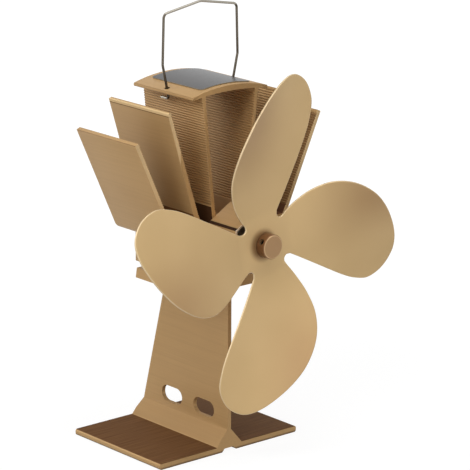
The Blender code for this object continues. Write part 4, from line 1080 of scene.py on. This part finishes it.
def dress_inner_nodes():
    """Inner pieces keep their solids and get their finish."""
    rows = {
        "lamination": "armature_core",
        "copper": "coil_1 coil_2 coil_3 commutator brush_left brush_right",
        "ferrite": "magnet_left magnet_right",
        "black_lead": "lead_left",
        "red_lead": "lead_right",
    }
    for finish, nodes in rows.items():
        for node in nodes.split():
            give_finish(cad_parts[node].data, finish)


# Studio

camera_azimuth = -40.63 * DEGREE
camera_elevation = 15.39 * DEGREE
camera_roll = 0.25 * DEGREE
camera_distance = 1293.62 * MM
camera_lens = 212.85
camera_sensor = 36.0
aim_right = 16.28 * MM
aim_height = 100.52 * MM
aim_depth = sink_middle + 0.2 * MM
floor_reach = 6.0
floor_drop = 0.05 * MM

# How pale the floor and the surround are to the rays that light the fan, and the floor's white to the eye
floor_light, surround_light = 0.5, 0.02
floor_strength = 1.08

# The shadow's share close to the fan, which fades between two distances in metres
shadow_share = 0.16
near_fan, clear_of_fan = 0.15, 0.5

# Each lamp: its bearing and height in degrees, its distance and width in metres, and its power in watts
lamps = {
    "left": (-85, 25, 0.8, 0.5, 0.95),
    "left_high": (-60, 50, 1.6, 0.9, 5.9),
    "left_low": (-70, 2, 0.8, 0.4, 0.4),
    "front": (-5, 2, 0.8, 0.5, 1.85),
    "top": (-30, 78, 1.6, 0.9, 5.3),
    "right_high": (30, 60, 1.6, 0.9, 4.8),
    "rim": (-140, 28, 1.6, 0.9, 8.0),
}


def direction(azimuth, elevation):
    """From the fan to a place seen at an azimuth round from the front and an elevation."""
    level = math.cos(elevation)
    return Vector((math.sin(azimuth) * level, -math.cos(azimuth) * level, math.sin(elevation)))


def make_camera():
    """The photograph's view: from the left of the front, a little above."""
    a = camera_azimuth
    back = direction(a, camera_elevation)
    right = Vector((math.cos(a), math.sin(a), 0))
    level = Matrix((right, back.cross(right), back)).transposed().to_4x4()
    place = level @ Matrix.Rotation(camera_roll, 4, "Z")
    place.translation = right * aim_right + Vector((0, aim_depth, aim_height)) + back * camera_distance
    data = bpy.data.cameras.new("camera")
    data.lens, data.sensor_width = camera_lens, camera_sensor
    data.clip_start, data.clip_end = 0.05, 50.0
    camera = linked("camera", data)
    camera.matrix_world = place
    bpy.context.scene.camera = camera


def make_floor():
    """A plain pale floor: white where it is seen, and close to the fan partly a matt surface that takes its
    shadow."""
    mesh = bpy.data.meshes.new("floor")
    corners = [(x * floor_reach, y * floor_reach, 0) for x, y in ((-1, -1), (1, -1), (1, 1), (-1, 1))]
    mesh.from_pydata(corners, [], [(0, 1, 2, 3)])
    floor = linked("floor", mesh)
    floor.location.z = -floor_drop
    finish = Finish("floor", roughness=0.9, Specular_IOR_Level=0.0)
    seen = finish.seen()
    finish.set(Base_Color=seen * (1 - floor_light) + floor_light)
    white = finish.node("ShaderNodeEmission", inputs={"Color": (1.0, 1.0, 1.0), "Strength": floor_strength})
    away = finish.vector("LENGTH", [finish.place], "Value").between(near_fan, clear_of_fan)
    plain = seen * (away * shadow_share + (1 - shadow_share))
    matt = Value(finish, finish.shader.outputs["BSDF"])
    mixed = finish.node("ShaderNodeMixShader", inputs=[plain, matt, white])
    finish.give(finish.nodes["Material Output"].inputs["Surface"], mixed)
    mesh.materials.append(finish.material)


def make_world():
    """A white surround for the eye and for gloss, and a soft even light for the rest."""
    world = bpy.data.worlds.new("studio")
    surround = Nodes(world)
    background = surround.nodes["Background"].inputs
    surround.give(background["Color"], (1.0, 1.0, 1.0))
    surround.give(background["Strength"], surround.seen() * (1 - surround_light) + surround_light)
    bpy.context.scene.world = world


def add_lamp(name, azimuth, elevation, distance, size, power):
    """A square soft lamp that faces the middle of the fan."""
    towards = direction(azimuth * DEGREE, elevation * DEGREE)
    data = bpy.data.lights.new(name, "AREA")
    data.size, data.energy = size, power
    lamp = linked(name, data)
    lamp.location = Vector((0, 0, axis_height)) + towards * distance
    lamp.rotation_euler = towards.to_track_quat("Z", "Y").to_euler()


def make_studio():
    """Camera, floor, surround and lamps."""
    make_camera()
    make_floor()
    make_world()
    for name, row in lamps.items():
        add_lamp(name, *row)
    bpy.context.scene.view_settings.view_transform = "Standard"


make_blades()
make_sink()
make_housing()
make_handle()
make_small_pieces()
dress_inner_nodes()
make_studio()
bpy.context.view_layer.update()
